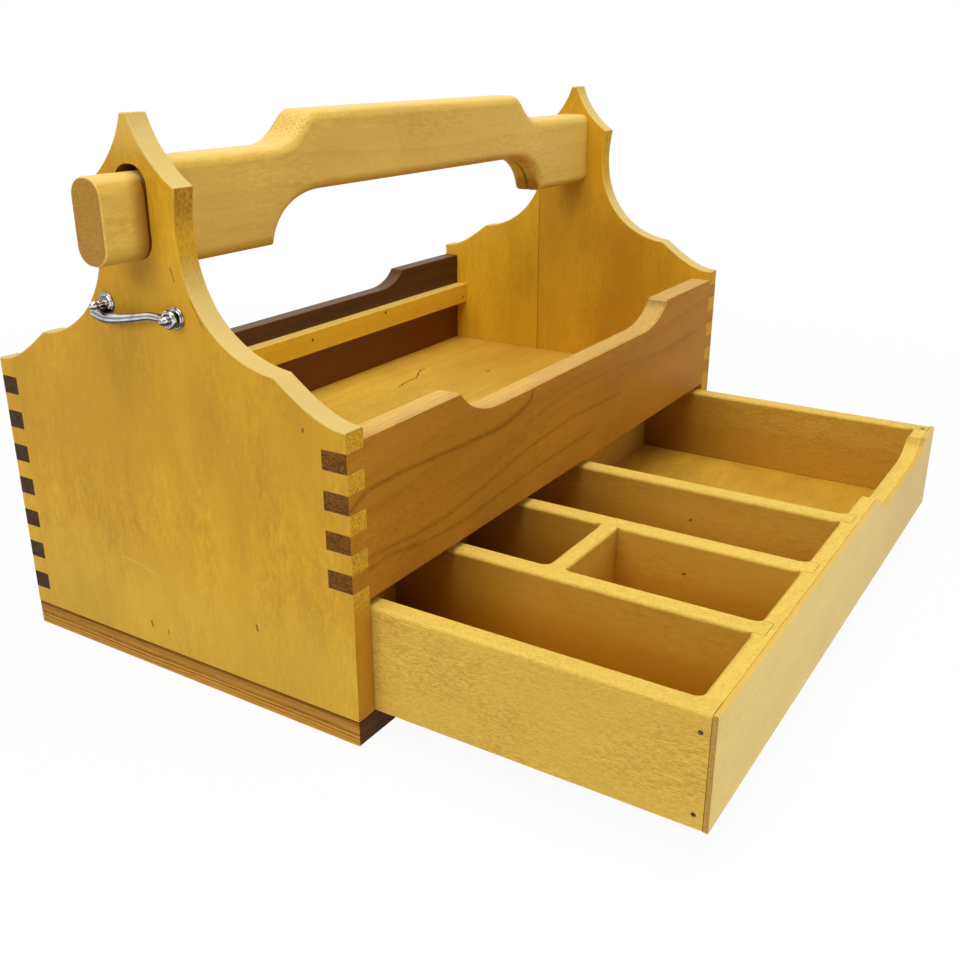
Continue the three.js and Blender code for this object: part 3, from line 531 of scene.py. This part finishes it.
# the top edge is painted pale as a highlight from above, paler still towards the left, in streaks, with a
# darker line along its lip
upper_edge = leans(up, 0.4, 0.85)
stain(front_wood, (212, 176, 104), 0.75, upper_edge)
stain(front_wood, (218, 176, 90), 0.8, upper_edge, within(3.0, x=(None, -40), y=(-110, None)))
stain(front_wood, (150, 102, 54), 0.3, upper_edge, grains((0.06, 1.3, 0.7), 0.46, 0.62))
stain(front_wood, (132, 86, 44), 0.6, upper_edge, within(0.25, y=(-115.1, -114.5)),
      grains((0.03, 0.5, 0.5), 0.3, 0.6))
for side in (-1, 1):
    finger_end = leans((side, 0, 0), 0.6, 0.9)
    stain(front_wood, (96, 66, 40), 0.4, finger_end)
    stain(front_wood, (62, 38, 22), 0.6, finger_end, grains((0.2, 0.5, 1.1), 0.46, 0.58))
eased_board(
    "front_board", "front", front_wood, "chest", 0.00018, wide=0.0006,
    wider=lambda p, run: abs(p.x) < inner_x and abs(run.y) < 0.001 and (p.z > 0.130 or p.z < 0.0735),
    skip=lambda p, run: abs(run.y) > 0.001 and abs(p.x) < inner_x)


# The back board is of very dark brown wood, jointed and scooped like the front board.
# It reaches down to the base board, and closes the drawer's bay at the back.
back_wood = wood_finish(
    "back board wood", "X", (50, 110, 0), (78, 44, 16), (44, 24, 9), (24, 12, 6), ring_width=5.0, rings=0.6,
    ring_start=0.4, waviness=12.0, fibres=0.4, pores=0.4, figure=0.4, dark_ends=0.3)
# painted highlight on the top edge; painted light makes the forward face lighter and more orange below the
# ledge
stain(back_wood, (112, 84, 56), 0.45, upper_edge)
stain(back_wood, (126, 70, 12), 0.55, leans(forward, 0.6, 0.9), within(12.0, z=(None, 118)))
for side in (-1, 1):
    finger_end = leans((side, 0, 0), 0.6, 0.9)
    stain(back_wood, (58, 40, 24), 0.5, finger_end)
    stain(back_wood, (96, 74, 50), 0.5, finger_end, grains((0.2, 0.9, 0.5), 0.5, 0.64))
eased_board(
    "back_board", "back", back_wood, "chest", 0.00018, wide=0.0006,
    wider=lambda p, run: p.z > 0.130 and abs(p.x) < inner_x and abs(run.y) < 0.001,
    skip=lambda p, run: abs(run.y) > 0.001 and abs(p.x) < inner_x)


# Six countersunk steel screws with cross recesses hold the base board to the ends and the back board.
# They are driven from below, and their heads lie just under its surface.
def lay(tree, kind, feeds, **settings):
    """Adds one geometry node and gives its first output."""
    return node(tree, "GeometryNode" + kind, feeds, **settings).outputs[0]


def shifted(tree, shape, rise):
    """Moves a shape up by a length."""
    way = wire(tree, "CombineXYZ", {2: rise})[0]
    return lay(tree, "Transform", {"Geometry": shape, "Translation": way})


def joined(tree, first, *others):
    """Puts shapes together."""
    made = node(tree, "GeometryNodeJoinGeometry", {0: first})
    for other in others:
        tree.links.new(other, made.inputs[0])
    return made.outputs[0]


def chance(tree, seed, low, high):
    """A number between low and high that differs from point to point."""
    feeds = {"Seed": seed, 2: low, 3: high}
    return node(tree, "FunctionNodeRandomValue", feeds, data_type="FLOAT").outputs[1]


def maker(name, lengths, counts, places=()):
    """A tree that makes a piece from points, with its inputs: lengths, counts, places and a finish."""
    tree = bpy.data.node_groups.new(name, "GeometryNodeTree")
    rows = [("Geometry", "G")] + [(length, "F") for length in lengths] + [(place, "V") for place in places]
    sockets(tree, "INPUT", rows + [(count, "I") for count in counts] + [("Finish", "M")])
    sockets(tree, "OUTPUT", [("Geometry", "G")])
    return tree, tree.nodes.new("NodeGroupInput").outputs


def close_tree(tree, shape, finish):
    """Ends a tree: real geometry with one material."""
    real = lay(tree, "RealizeInstances", {"Geometry": shape})
    node(tree, "NodeGroupOutput", {0: lay(tree, "SetMaterial", {"Geometry": real, "Material": finish})})


def grown(name, tree, points, edges, sizes, body, stands_for, ways=None, smooth=30):
    """Runs a tree on a few points, turns the result into a plain mesh and puts it on its body."""
    seed = bpy.data.meshes.new(name + "_points")
    seed.from_pydata(points, edges, [])
    if ways:
        way = seed.attributes.new("way", "FLOAT_VECTOR", "POINT")
        way.data.foreach_set("vector", [value for one in ways for value in one])
    piece = stand(name, seed)
    grow = piece.modifiers.new("grow", "NODES")
    grow.node_group = tree
    for socket in tree.interface.items_tree:
        if socket.in_out == "INPUT" and socket.name in sizes:
            grow[socket.identifier] = sizes[socket.name]
    made = bpy.data.meshes.new_from_object(piece.evaluated_get(bpy.context.evaluated_depsgraph_get()))
    piece.modifiers.clear()
    piece.data = made
    made.name = name
    bpy.data.meshes.remove(seed)
    made.polygons.foreach_set("use_smooth", [True] * len(made.polygons))
    made.set_sharp_from_angle(angle=math.radians(smooth))
    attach(piece, body)
    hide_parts(*stands_for)


def metal_finish(name, bright, dull, roughness, patch, wear=0.3, dints=0.15):
    """Bare metal, a little uneven: bright metal with duller patches and fine wear."""
    made = bpy.data.materials.new(name)
    tree = emptied(made)
    place = in_mm(tree)
    patches = ramp(tree, cloud(tree, place, (patch, patch, patch), 4.0, 0.6)[0], 0.42, 0.66)
    fine = cloud(tree, place, (patch * 6, patch * 6, patch * 2), 3.0, 0.7, 9.0)[0]
    worn = plus(tree, times(tree, patches, 0.5), times(tree, fine, 0.5))
    rough = ramp(tree, worn, 0.2, 0.9, roughness, roughness + wear)
    bump = wire(tree, "Bump", {"Height": fine, "Strength": dints, "Distance": 0.00003})[0]
    colour = blend(tree, patches, tone(bright), tone(dull))
    body = wire(tree, "BsdfPrincipled", {"Base Color": colour, "Metallic": 1.0, "Roughness": rough,
                                         "Normal": bump})
    wire(tree, "OutputMaterial", {"Surface": body[0]})
    return made


screw_steel = metal_finish("screw steel", (196, 194, 188), (128, 122, 112), 0.25, 0.6)
tree, given = maker(
    "countersunk screws", ("Head radius", "Head height", "Shank radius", "Length", "Recess"),
    ("Sides", "Seed"))
head = lay(tree, "MeshCone", {"Vertices": given["Sides"], "Radius Top": given["Head radius"],
                              "Radius Bottom": given["Shank radius"], "Depth": given["Head height"]})
head = shifted(tree, head, times(tree, given["Head height"], -1.0))
recess_long, recess_wide = times(tree, given["Head radius"], 1.25), times(tree, given["Head radius"], 0.26)
recess_deep = times(tree, given["Recess"], 2.0)
bars = []
for wide, high in ((recess_long, recess_wide), (recess_wide, recess_long)):
    size = wire(tree, "CombineXYZ", {0: wide, 1: high, 2: recess_deep})[0]
    bars.append(lay(tree, "MeshCube", {"Size": size}))
cut = node(tree, "GeometryNodeMeshBoolean", {"Mesh 1": head, "Mesh 2": bars[0]}, operation="DIFFERENCE")
tree.links.new(bars[1], cut.inputs["Mesh 2"])
shank = lay(tree, "MeshCylinder", {"Vertices": given["Sides"], "Radius": given["Shank radius"],
                                   "Depth": given["Length"]})
shank = shifted(tree, shank, less(tree, times(tree, given["Length"], -0.5), given["Head height"]))
spin = wire(tree, "CombineXYZ", {2: chance(tree, given["Seed"], 0.0, 1.5)})[0]
over = node(tree, "FunctionNodeEulerToRotation", {0: (math.pi, 0, 0)}).outputs[0]
spin = node(tree, "FunctionNodeRotateRotation", {0: over, 1: spin}, rotation_space="LOCAL").outputs[0]
screws = lay(tree, "InstanceOnPoints", {"Points": given["Geometry"], "Rotation": spin,
                                        "Instance": joined(tree, cut.outputs[0], shank)})
close_tree(tree, screws, given["Finish"])
head_level, under_ends, under_back = 0.0004, 0.212, 0.1105
screw_places = [(side * under_ends, y, head_level) for side in (-1, 1) for y in (-0.0789, 0.0719)]
screw_places += [(side * 0.1133, under_back, head_level) for side in (-1, 1)]
grown("base_screws", tree, screw_places, [],
      {"Head radius": 0.0036, "Head height": 0.0026, "Shank radius": 0.0018, "Length": 0.029,
       "Recess": 0.0014, "Sides": 32, "Seed": 4, "Finish": screw_steel},
      "chest", [f"base_screw_{n}" for n in range(1, 7)])


# The tray's floor is a pale board let into grooves all round, with its grain along the chest.
# A short crack and a small knot show near the front, and the far end is darker.
def dress(part_name, finish):
    """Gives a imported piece, whose shape is kept, its finish."""
    packed[part_name].data.materials.clear()
    packed[part_name].data.materials.append(finish)
    for slot in packed[part_name].material_slots:
        slot.material = finish


def graded(axis, low, high, first=0.0, last=1.0):
    """A mask that changes slowly from first to last, between two places in mm on an axis."""
    return lambda tree: ramp(tree, wire(tree, "SeparateXYZ", {0: in_mm(tree)})[axis], low, high, first, last)


floor_wood = wood_finish(
    "tray floor wood", "X", (10, 90, 0), (224, 180, 66), (184, 124, 26), ring_width=14.0, rings=0.16,
    waviness=34.0, fibres=0.16, figure=0.6, fleck=0.25)
stain(floor_wood, (170, 108, 8), 0.3, graded("X", 20, 180))
floor_top = 80.7
crack = ((56.6, 58.3), (72.6, 61.7), (82.3, 61.3), (101.8, 71.3), (105.7, 70.3))
draw_lines(floor_wood, [(x, y, floor_top) for x, y in crack], 0.85, 3.4, (84, 46, 14), 0.88)
draw_lines(floor_wood, ((125.4, 25.5, floor_top), (128.4, 25.9, floor_top)), 1.7, 1.4, (120, 70, 26), 0.7)
dress("tray_floor", floor_wood)


# A pale ledge runs along the inside of the back board, and is nailed to it
# with five small nails, whose heads are just below the wood.
ledge_wood = wood_finish(
    "ledge wood", "X", (20, 60, 0), (224, 178, 46), (192, 136, 20), ring_width=8.0, rings=0.3, waviness=9.0,
    pores=0.25, figure=0.25, dapple=0.2, gloss=0.4)
# painted highlight: the upward faces are pale, as lit from above
stain(ledge_wood, (224, 200, 130), 0.5, leans(up, 0.4, 0.9))
eased_board(
    "back_ledge", "ledge", ledge_wood, "chest", 0.0005, skip=lambda p, run: abs(run.x) < 0.1)

nail_steel = metal_finish("nail steel", (92, 82, 72), (52, 42, 34), 0.4, 0.9)
nail_tree, given = maker(
    "driven nails", ("Head radius", "Head height", "Shank radius", "Length", "Sunk"), ("Sides", "Seed"))
tree = nail_tree
crown = times(tree, given["Head height"], 0.35)
rim = less(tree, given["Head height"], crown)
top = lay(tree, "MeshCone", {"Vertices": given["Sides"], "Side Segments": 2, "Depth": crown,
                             "Radius Top": times(tree, given["Head radius"], 0.72),
                             "Radius Bottom": given["Head radius"]})
top = shifted(tree, top, times(tree, crown, -1.0))
disc = lay(tree, "MeshCylinder", {"Vertices": given["Sides"], "Radius": given["Head radius"], "Depth": rim})
disc = shifted(tree, disc, times(tree, plus(tree, times(tree, rim, 0.5), crown), -1.0))
stem = less(tree, given["Length"], given["Head height"])
shank = lay(tree, "MeshCylinder", {"Vertices": given["Sides"], "Radius": given["Shank radius"],
                                   "Depth": stem})
shank = shifted(tree, shank, times(tree, plus(tree, times(tree, stem, 0.5), given["Head height"]), -1.0))
way = lay(tree, "InputNamedAttribute", {"Name": "way"}, data_type="FLOAT_VECTOR")
aim = node(tree, "FunctionNodeAlignRotationToVector", {"Vector": way}, axis="Z").outputs[0]
sink = scaled(tree, way, times(tree, chance(tree, given["Seed"], 0.4, 1.0), given["Sunk"], -1.0))
driven = lay(tree, "SetPosition", {"Geometry": given["Geometry"], "Offset": sink})
nails = lay(tree, "InstanceOnPoints", {"Points": driven, "Instance": joined(tree, top, disc, shank),
                                       "Rotation": aim})
close_tree(tree, nails, given["Finish"])
nail_sizes = {"Head radius": 0.0011, "Head height": 0.001, "Shank radius": 0.0008, "Sides": 24,
              "Finish": nail_steel}
ledge_face = 0.0961
ledge_nail_places = ((-0.17707, 0.11986), (-0.08442, 0.11834), (0.00865, 0.12062), (0.09348, 0.12366),
                     (0.20075, 0.11606))
grown("ledge_nails", nail_tree, [(x, ledge_face, z) for x, z in ledge_nail_places], [],
      {**nail_sizes, "Length": 0.0158, "Sunk": 0.00018, "Seed": 2},
      "chest", [f"ledge_nail_{n}" for n in range(1, 6)], [forward] * 5)


# The handle is one tan bar with every long edge rounded over, raised in the middle for the hand.
# Its tenons go through the mortises of the end boards, and a thin slot is sawn up its underside.
handle_wood = wood_finish(
    "handle wood", "X", (14, 244, 0), (212, 173, 76), (180, 137, 44), ends_from=0.8, ring_width=9.0,
    rings=0.2, waviness=16.0, fibres=0.26, figure=0.4, fleck=0.25, dark_ends=0.35, gloss=0.46)
# the left tenon's front face is darker towards the mortise, partly a stain and partly painted shade, with a
# thin painted shadow line where it goes in
stain(handle_wood, (146, 90, 14), 0.8, within(5.0, x=(-224, -206)), leans(forward, 0.3, 0.9))
stain(handle_wood, (112, 46, 12), 0.85, within(0.3, x=(-218.9, -217.5)),
      leans((0, -0.9, -0.45), 0.25, 0.6))
# painted light: upward faces are painted pale as a highlight, downward faces darker as shade
stain(handle_wood, (234, 206, 128), 0.5, leans(up, 0.5, 0.95))
stain(handle_wood, (150, 100, 32), 0.5, leans((0, 0, -1), 0.3, 0.9))
# small dents on the slope up to the grip
stain(handle_wood, (158, 112, 48), 1.0, leans(up, 0.2, 0.6), within(6.0, x=(-130, -108), z=(268, None)),
      grains((0.7, 0.7, 1.2), 0.55, 0.6))
for side in (-1, 1):
    tenon_end = leans((side, 0, 0), 0.7, 0.95)
    stain(handle_wood, (150, 98, 26), 0.55, tenon_end)
    stain(handle_wood, (208, 164, 80), 0.55, tenon_end, grains((1.9, 1.9, 1.9), 0.42, 0.72))
    tenon_rim = leans((side, 0, 0), 0.25, 0.5), leans((side, 0, 0), 0.92, 0.6)
    stain(handle_wood, (226, 190, 104), 1.0, *tenon_rim, grains((1.1, 1.1, 1.1), 0.44, 0.6))
eased_board("handle", "grip_bar", handle_wood, "chest", 0.0002, skip=lambda p, run: True)


# Two chrome studs are screwed into the left end board, one for the hook to turn on and one to catch it.
# Each has a stepped rosette, a neck and a ball with a small collar.
def turned_shape(name, profile, steps, middle):
    """Turns a profile of (radius, stand-off) round an axis that sticks out to the left of a point."""
    verts, rings = [], []
    for radius, out in profile:
        count = steps if radius > 1e-7 else 1
        rings.append([len(verts) + step for step in range(count)])
        for step in range(count):
            angle = 2 * math.pi * step / steps
            y, z = middle[1] + radius * math.cos(angle), middle[2] + radius * math.sin(angle)
            verts.append((middle[0] - out, y, z))
    faces = []
    for low, high in zip(rings, rings[1:]):
        for step in range(steps):
            then = (step + 1) % steps
            corners = [low[step % len(low)], low[then % len(low)]]
            corners += [high[then % len(high)], high[step % len(high)]]
            faces.append(list(dict.fromkeys(corners)))
    mesh = bpy.data.meshes.new(name)
    mesh.from_pydata(verts, [], faces)
    outward = bmesh.new()
    outward.from_mesh(mesh)
    bmesh.ops.recalc_face_normals(outward, faces=outward.faces)
    outward.to_mesh(mesh)
    outward.free()
    return mesh


chrome = metal_finish("chrome", (226, 225, 227), (176, 173, 172), 0.04, 0.12, wear=0.04, dints=0.03)
# painted reflections: dark bands are painted along every round part, standing in for a dim room mirrored in
# the chrome
for middle, spread, strength in ((0.3, 0.3, 0.66), (-0.48, 0.4, 0.95), (0.99, 0.14, 0.85)):
    reflection_band = [leans((0, 0.1, 1), middle + edge * spread, middle + edge * spread * 0.35) for edge in (-1, 1)]
    stain(chrome, (52, 40, 34), strength, *reflection_band)
# painted reflection: faces turned to the left, near the board, are browned as if mirroring the wood
stain(chrome, (92, 68, 42), 0.6, leans((-1, 0, 0), 0.86, 0.97), within(0.3, x=(-219.9, None)))
# the radius and the stand-off in mm, from the rim of the rosette to the collar of the ball
turned_mm = ((0, 0.08), (5, 0.08), (5.2, 0.3), (5.2, 0.7), (5.08, 0.92), (4.86, 1.04), (4.62, 1.06),
             (4.44, 1.02), (4.3, 1.1), (4, 1.34), (3.5, 1.58), (2.9, 1.76), (2.3, 1.86), (1.9, 1.9),
             (1.68, 2), (1.6, 2.2), (1.6, 5.02), (1.72, 5.12), (1.96, 5.18), (2.04, 5.3), (2.04, 5.6),
             (1.94, 5.72), (1.74, 5.8))
stud_profile = [(radius / 1000, out / 1000) for radius, out in turned_mm]
ball_middle, ball_radius, ball_start, ball_steps = 0.0074, 0.0024, math.radians(46), 14
for step in range(1, ball_steps + 1):
    angle = ball_start + (math.pi - ball_start) * step / ball_steps
    radius = ball_radius * math.sin(angle) if step < ball_steps else 0.0
    stud_profile.append((radius, ball_middle - ball_radius * math.cos(angle)))
stud_middles = {"front_stud": (-0.218, -0.0209, 0.1953), "rear_stud": (-0.218, 0.0252, 0.1970)}
for part_name, middle in stud_middles.items():
    stud_mesh = turned_shape(part_name.replace("_", " "), stud_profile, 48, middle)
    stud_mesh.polygons.foreach_set("use_smooth", [True] * len(stud_mesh.polygons))
    stud_mesh.set_sharp_from_angle(angle=math.radians(60))
    stud_mesh.materials.append(chrome)
    stud = stand("chrome_" + part_name, stud_mesh)
    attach(stud, "chest")
    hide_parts(part_name)


# The hook arm is a chrome rod with an eye that turns on the front stud.
# It sags a little, thickens towards the rear stud and curls up round its neck.
tree, given = maker(
    "hook arm", ("Start radius", "End radius", "Eye radius", "Eye wire"), ("Rings", "Sides"),
    ("Eye place",))
route = lay(tree, "MeshToCurve", {"Mesh": given["Geometry"]})
route = lay(tree, "CurveSplineType", {"Curve": route}, spline_type="CATMULL_ROM")
route = lay(tree, "SetSplineResolution", {"Geometry": route, "Resolution": 24})
route = lay(tree, "ResampleCurve", {"Curve": route, "Count": given["Rings"]})
where = node(tree, "GeometryNodeSplineParameter").outputs
whole = node(tree, "GeometryNodeSplineLength").outputs["Length"]
# the last stretch, one radius long, is rounded off
left_over = less(tree, whole, where["Length"])
short = less(tree, 1.0, sums(tree, "DIVIDE", left_over, given["End radius"], clamp=True))
round_tip = sums(tree, "SQRT", less(tree, 1.0, times(tree, short, short)))
grow_by = less(tree, given["End radius"], given["Start radius"])
thick = sums(tree, "MULTIPLY_ADD", where["Factor"], grow_by, given["Start radius"])
thick = times(tree, thick, sums(tree, "MAXIMUM", round_tip, 0.12))
round_wire = lay(tree, "CurvePrimitiveCircle", {"Resolution": given["Sides"], "Radius": 1.0})
rod = lay(tree, "CurveToMesh", {"Curve": route, "Profile Curve": round_wire, "Scale": thick,
                                "Fill Caps": True})
ring = lay(tree, "CurvePrimitiveCircle", {"Resolution": 64, "Radius": given["Eye radius"]})
ring_wire = lay(tree, "CurvePrimitiveCircle", {"Resolution": given["Sides"], "Radius": given["Eye wire"]})
eye = lay(tree, "CurveToMesh", {"Curve": ring, "Profile Curve": ring_wire})
eye = lay(tree, "Transform", {"Geometry": eye, "Translation": given["Eye place"],
                              "Rotation": (0, math.pi / 2, 0)})
close_tree(tree, joined(tree, rod, eye), given["Finish"])
arm_place = Vector((-0.2226, -0.0209, 0.1953))
stud_gap, rear_lift, curl_radius, sag = 0.0461, 0.0017, 0.0046, 0.006
arm_route = [(0.0033, 0.0)]
for share, down in ((0.25, -0.03), (0.45, 0.25), (0.7, 0.58), (0.9, 0.68)):
    arm_route.append((share * stud_gap, -down * sag))
for turn in (-0.2, -0.13, -0.07):
    angle = 2 * math.pi * turn
    arm_route.append((stud_gap + curl_radius * math.cos(angle), rear_lift + curl_radius * math.sin(angle)))
arm_points = [arm_place + Vector((0, out, rise)) for out, rise in arm_route]
grown("hook_arm_rod", tree, arm_points, [(n, n + 1) for n in range(len(arm_points) - 1)],
      {"Start radius": 0.0018, "End radius": 0.0030, "Eye radius": 0.0033, "Eye wire": 0.0013,
       "Eye place": arm_place, "Rings": 150, "Sides": 28, "Finish": chrome},
      "hook", ["hook_arm"], smooth=70)


# The drawer is of the same pale wood, planed less smooth: short dark ripples run along its sides.
# Its sides overlap the front and the back, and two nails go through each side into the end of each.
def drawer_finish(name, grain, pith, **figure):
    """Drawer wood: painted shade darkens it down in the compartments, most towards the back, and a painted
    highlight makes it pale on top.
    """
    spring, summer = (220, 182, 80), (184, 136, 40)
    sizes = {"ring_width": 9.0, "rings": 0.2, "waviness": 14.0, "fibres": 0.28,
             "pores": 0.45, "figure": 0.4, "dapple": 0.42, "fleck": 0.3, "dark_ends": 0.1}
    sizes.update(figure)
    made = wood_finish(name, grain, pith, spring, summer, relief=0.00018, shine=0.08, **sizes)
    compartments = within(0.6, x=(-194.8, 194.8), y=(-271.8, -76.3), z=(None, 67.5))
    low_down, at_the_back = graded("Z", 68, 24, 0.55, 1.0), graded("Y", -190, -76, 0.0, 0.55)
    # painted shade: the compartments darken towards their floors, most of all towards the back
    stain(made, (188, 127, 0), 1.0, compartments, low_down, graded("X", -70, 60, 0.88, 0.616))
    stain(made, (84, 44, 4), 1.0, compartments, low_down, at_the_back)
    # painted highlight: upward faces, the rims, are paler
    rim = leans(up, 0.3, 0.8)
    stain(made, (232, 204, 104), 0.4, rim)
    stain(made, (158, 122, 36), 0.35, rim, grains((0.9, 0.9, 0.9), 0.48, 0.7))
    return made


def not_on_top(p, run):
    """All but the long upper arrises of the drawer's parts."""
    return p.z <= 0.0505 or run.z * run.z >= run.x * run.x + run.y * run.y


side_wood = drawer_finish(
    "drawer side wood", "Y", (-150, 30, 0), pores=0.3, figure=0.25, dapple=0.3, ripple=1.0)
# the glue line of the facing, and a small knot at the right corner
stain(side_wood, (84, 50, 16), 0.85, within(0.12, y=(-281.8, -281.35)))
stain(side_wood, (96, 60, 20), 0.7, within(0.5, x=(194.5, 199.0), y=(-279.5, -276.6), z=(66.0, None)))
for part_name, name in (("drawer_left_side", "drawer_left"), ("drawer_right_side", "drawer_right")):
    eased_board(
        part_name, name, side_wood, "drawer", 0.0003, wide=0.0007,
        wider=lambda p, run: p.z > 0.0685 and abs(run.y) > 0.1,
        skip=lambda p, run: abs(run.y) < 0.1 and abs(run.z) < 0.01)

front_bar_wood = drawer_finish("drawer front wood", "X", (40, 270, 0))
# the ends of the three long dividers show as thin outlines in the front's top edge
bar_top, bar_inside, let_in_to, divider_thickness = 69.1, -271.8, -277.8, 12
for left in (-134, -62, 10):
    right = left + divider_thickness
    outline = ((left, bar_inside), (left, let_in_to), (right, let_in_to), (right, bar_inside))
    draw_lines(front_bar_wood, [(x, y, bar_top) for x, y in outline], 0.5, 0.3, (104, 66, 20), 0.6)
back_bar_wood = drawer_finish("drawer back wood", "X", (30, 90, 0))
for part_name, name, finish in (("drawer_front", "drawer_front_bar", front_bar_wood),
                                ("drawer_back", "drawer_back_bar", back_bar_wood)):
    eased_board(
        part_name, name, finish, "drawer", 0.00025,
        skip=lambda p, run: not_on_top(p, run) or run.length < 0.0035)


# A thin, smooth facing is glued over the drawer's front and the ends of its sides.
# It dips in a finger scoop with the front, and its cut left edge shows reddish layers.
facing_wood = wood_finish(
    "facing wood", "X", (200, 400, 0), (228, 198, 98), (210, 176, 76), ring_width=30.0, rings=0.15,
    waviness=20.0, fibres=0.16, pores=0.12, figure=0.3, dapple=0.16, gloss=0.4)
stain(facing_wood, (184, 146, 64), 0.4, graded("X", -100, 200))


def cut_edges(tree):
    """A mask for the facing's two ends."""
    lean = wire(tree, "SeparateXYZ", {0: wire(tree, "TexCoord")["Normal"]})["X"]
    return ramp(tree, sums(tree, "ABSOLUTE", lean), 0.6, 0.9)


def layers(tree):
    """A mask for the thin layers of the facing, one behind the other."""
    layers_in_a_mm = 1.25
    through = times(tree, wire(tree, "SeparateXYZ", {0: in_mm(tree)})["Y"], layers_in_a_mm)
    return ramp(tree, sums(tree, "FRACT", through), 0.35, 0.65, 0.35, 1.0)


stain(facing_wood, (166, 108, 44), 0.35, cut_edges, layers)
stain(facing_wood, (204, 160, 62), 0.7, leans(up, 0.4, 0.9))
eased_board(
    "drawer_facing", "facing", facing_wood, "drawer", 0.00025,
    skip=lambda p, run: not_on_top(p, run) or run.length < 0.0035)


# The drawer's bottom is a thin panel of the same pale wood.
# It lies in grooves of the sides, the front and the back.
bottom_wood = wood_finish(
    "drawer bottom wood", "X", (20, 150, 0), (196, 150, 48), (170, 120, 24), ring_width=16.0, rings=0.14,
    waviness=36.0, fibres=0.16, figure=0.7, dapple=0.35, fleck=0.25)
dress("drawer_bottom", bottom_wood)


# Three long dividers, let into the front and the back, part the drawer into compartments,
# and one cross divider halves the space between two of them.
divider_wood = drawer_finish("divider wood", "Y", (-60, 44, 0))
knots = (((10.0, -188.0, 50.0), (10.0, -186.8, 49.4)), ((-62.0, -213.0, 51.5), (-62.0, -211.8, 51.0)))
for knot in knots:
    draw_lines(divider_wood, knot, 0.85, 1.0, (84, 36, 12), 0.8)
cross_wood = drawer_finish("cross divider wood", "X", (60, 160, 0))
for number in (1, 2, 3):
    eased_board(
        f"long_divider_{number}", f"divider_{number}", divider_wood, "drawer", 0.0003,
        skip=lambda p, run: not_on_top(p, run) or abs(run.y) < 0.02)
eased_board(
    "cross_divider", "divider_across", cross_wood, "drawer", 0.0003,
    skip=lambda p, run: not_on_top(p, run) or abs(run.x) < 0.02)


# Eight nails hold the drawer's corners, two through each end of each side.
# Their small heads lie a little under the surface.
drawer_half, nail_spots = 0.2055, []
for side in (-1, 1):
    nail_spots += [(side * drawer_half, y, z) for y in (-0.2772, -0.0707) for z in (0.0203, 0.0597)]
outward_ways = [(-1, 0, 0)] * 4 + [(1, 0, 0)] * 4
grown("drawer_nails", nail_tree, nail_spots, [], {**nail_sizes, "Length": 0.0258, "Sunk": 0.0003, "Seed": 7},
      "drawer", [f"drawer_nail_{n}" for n in range(1, 9)], outward_ways)
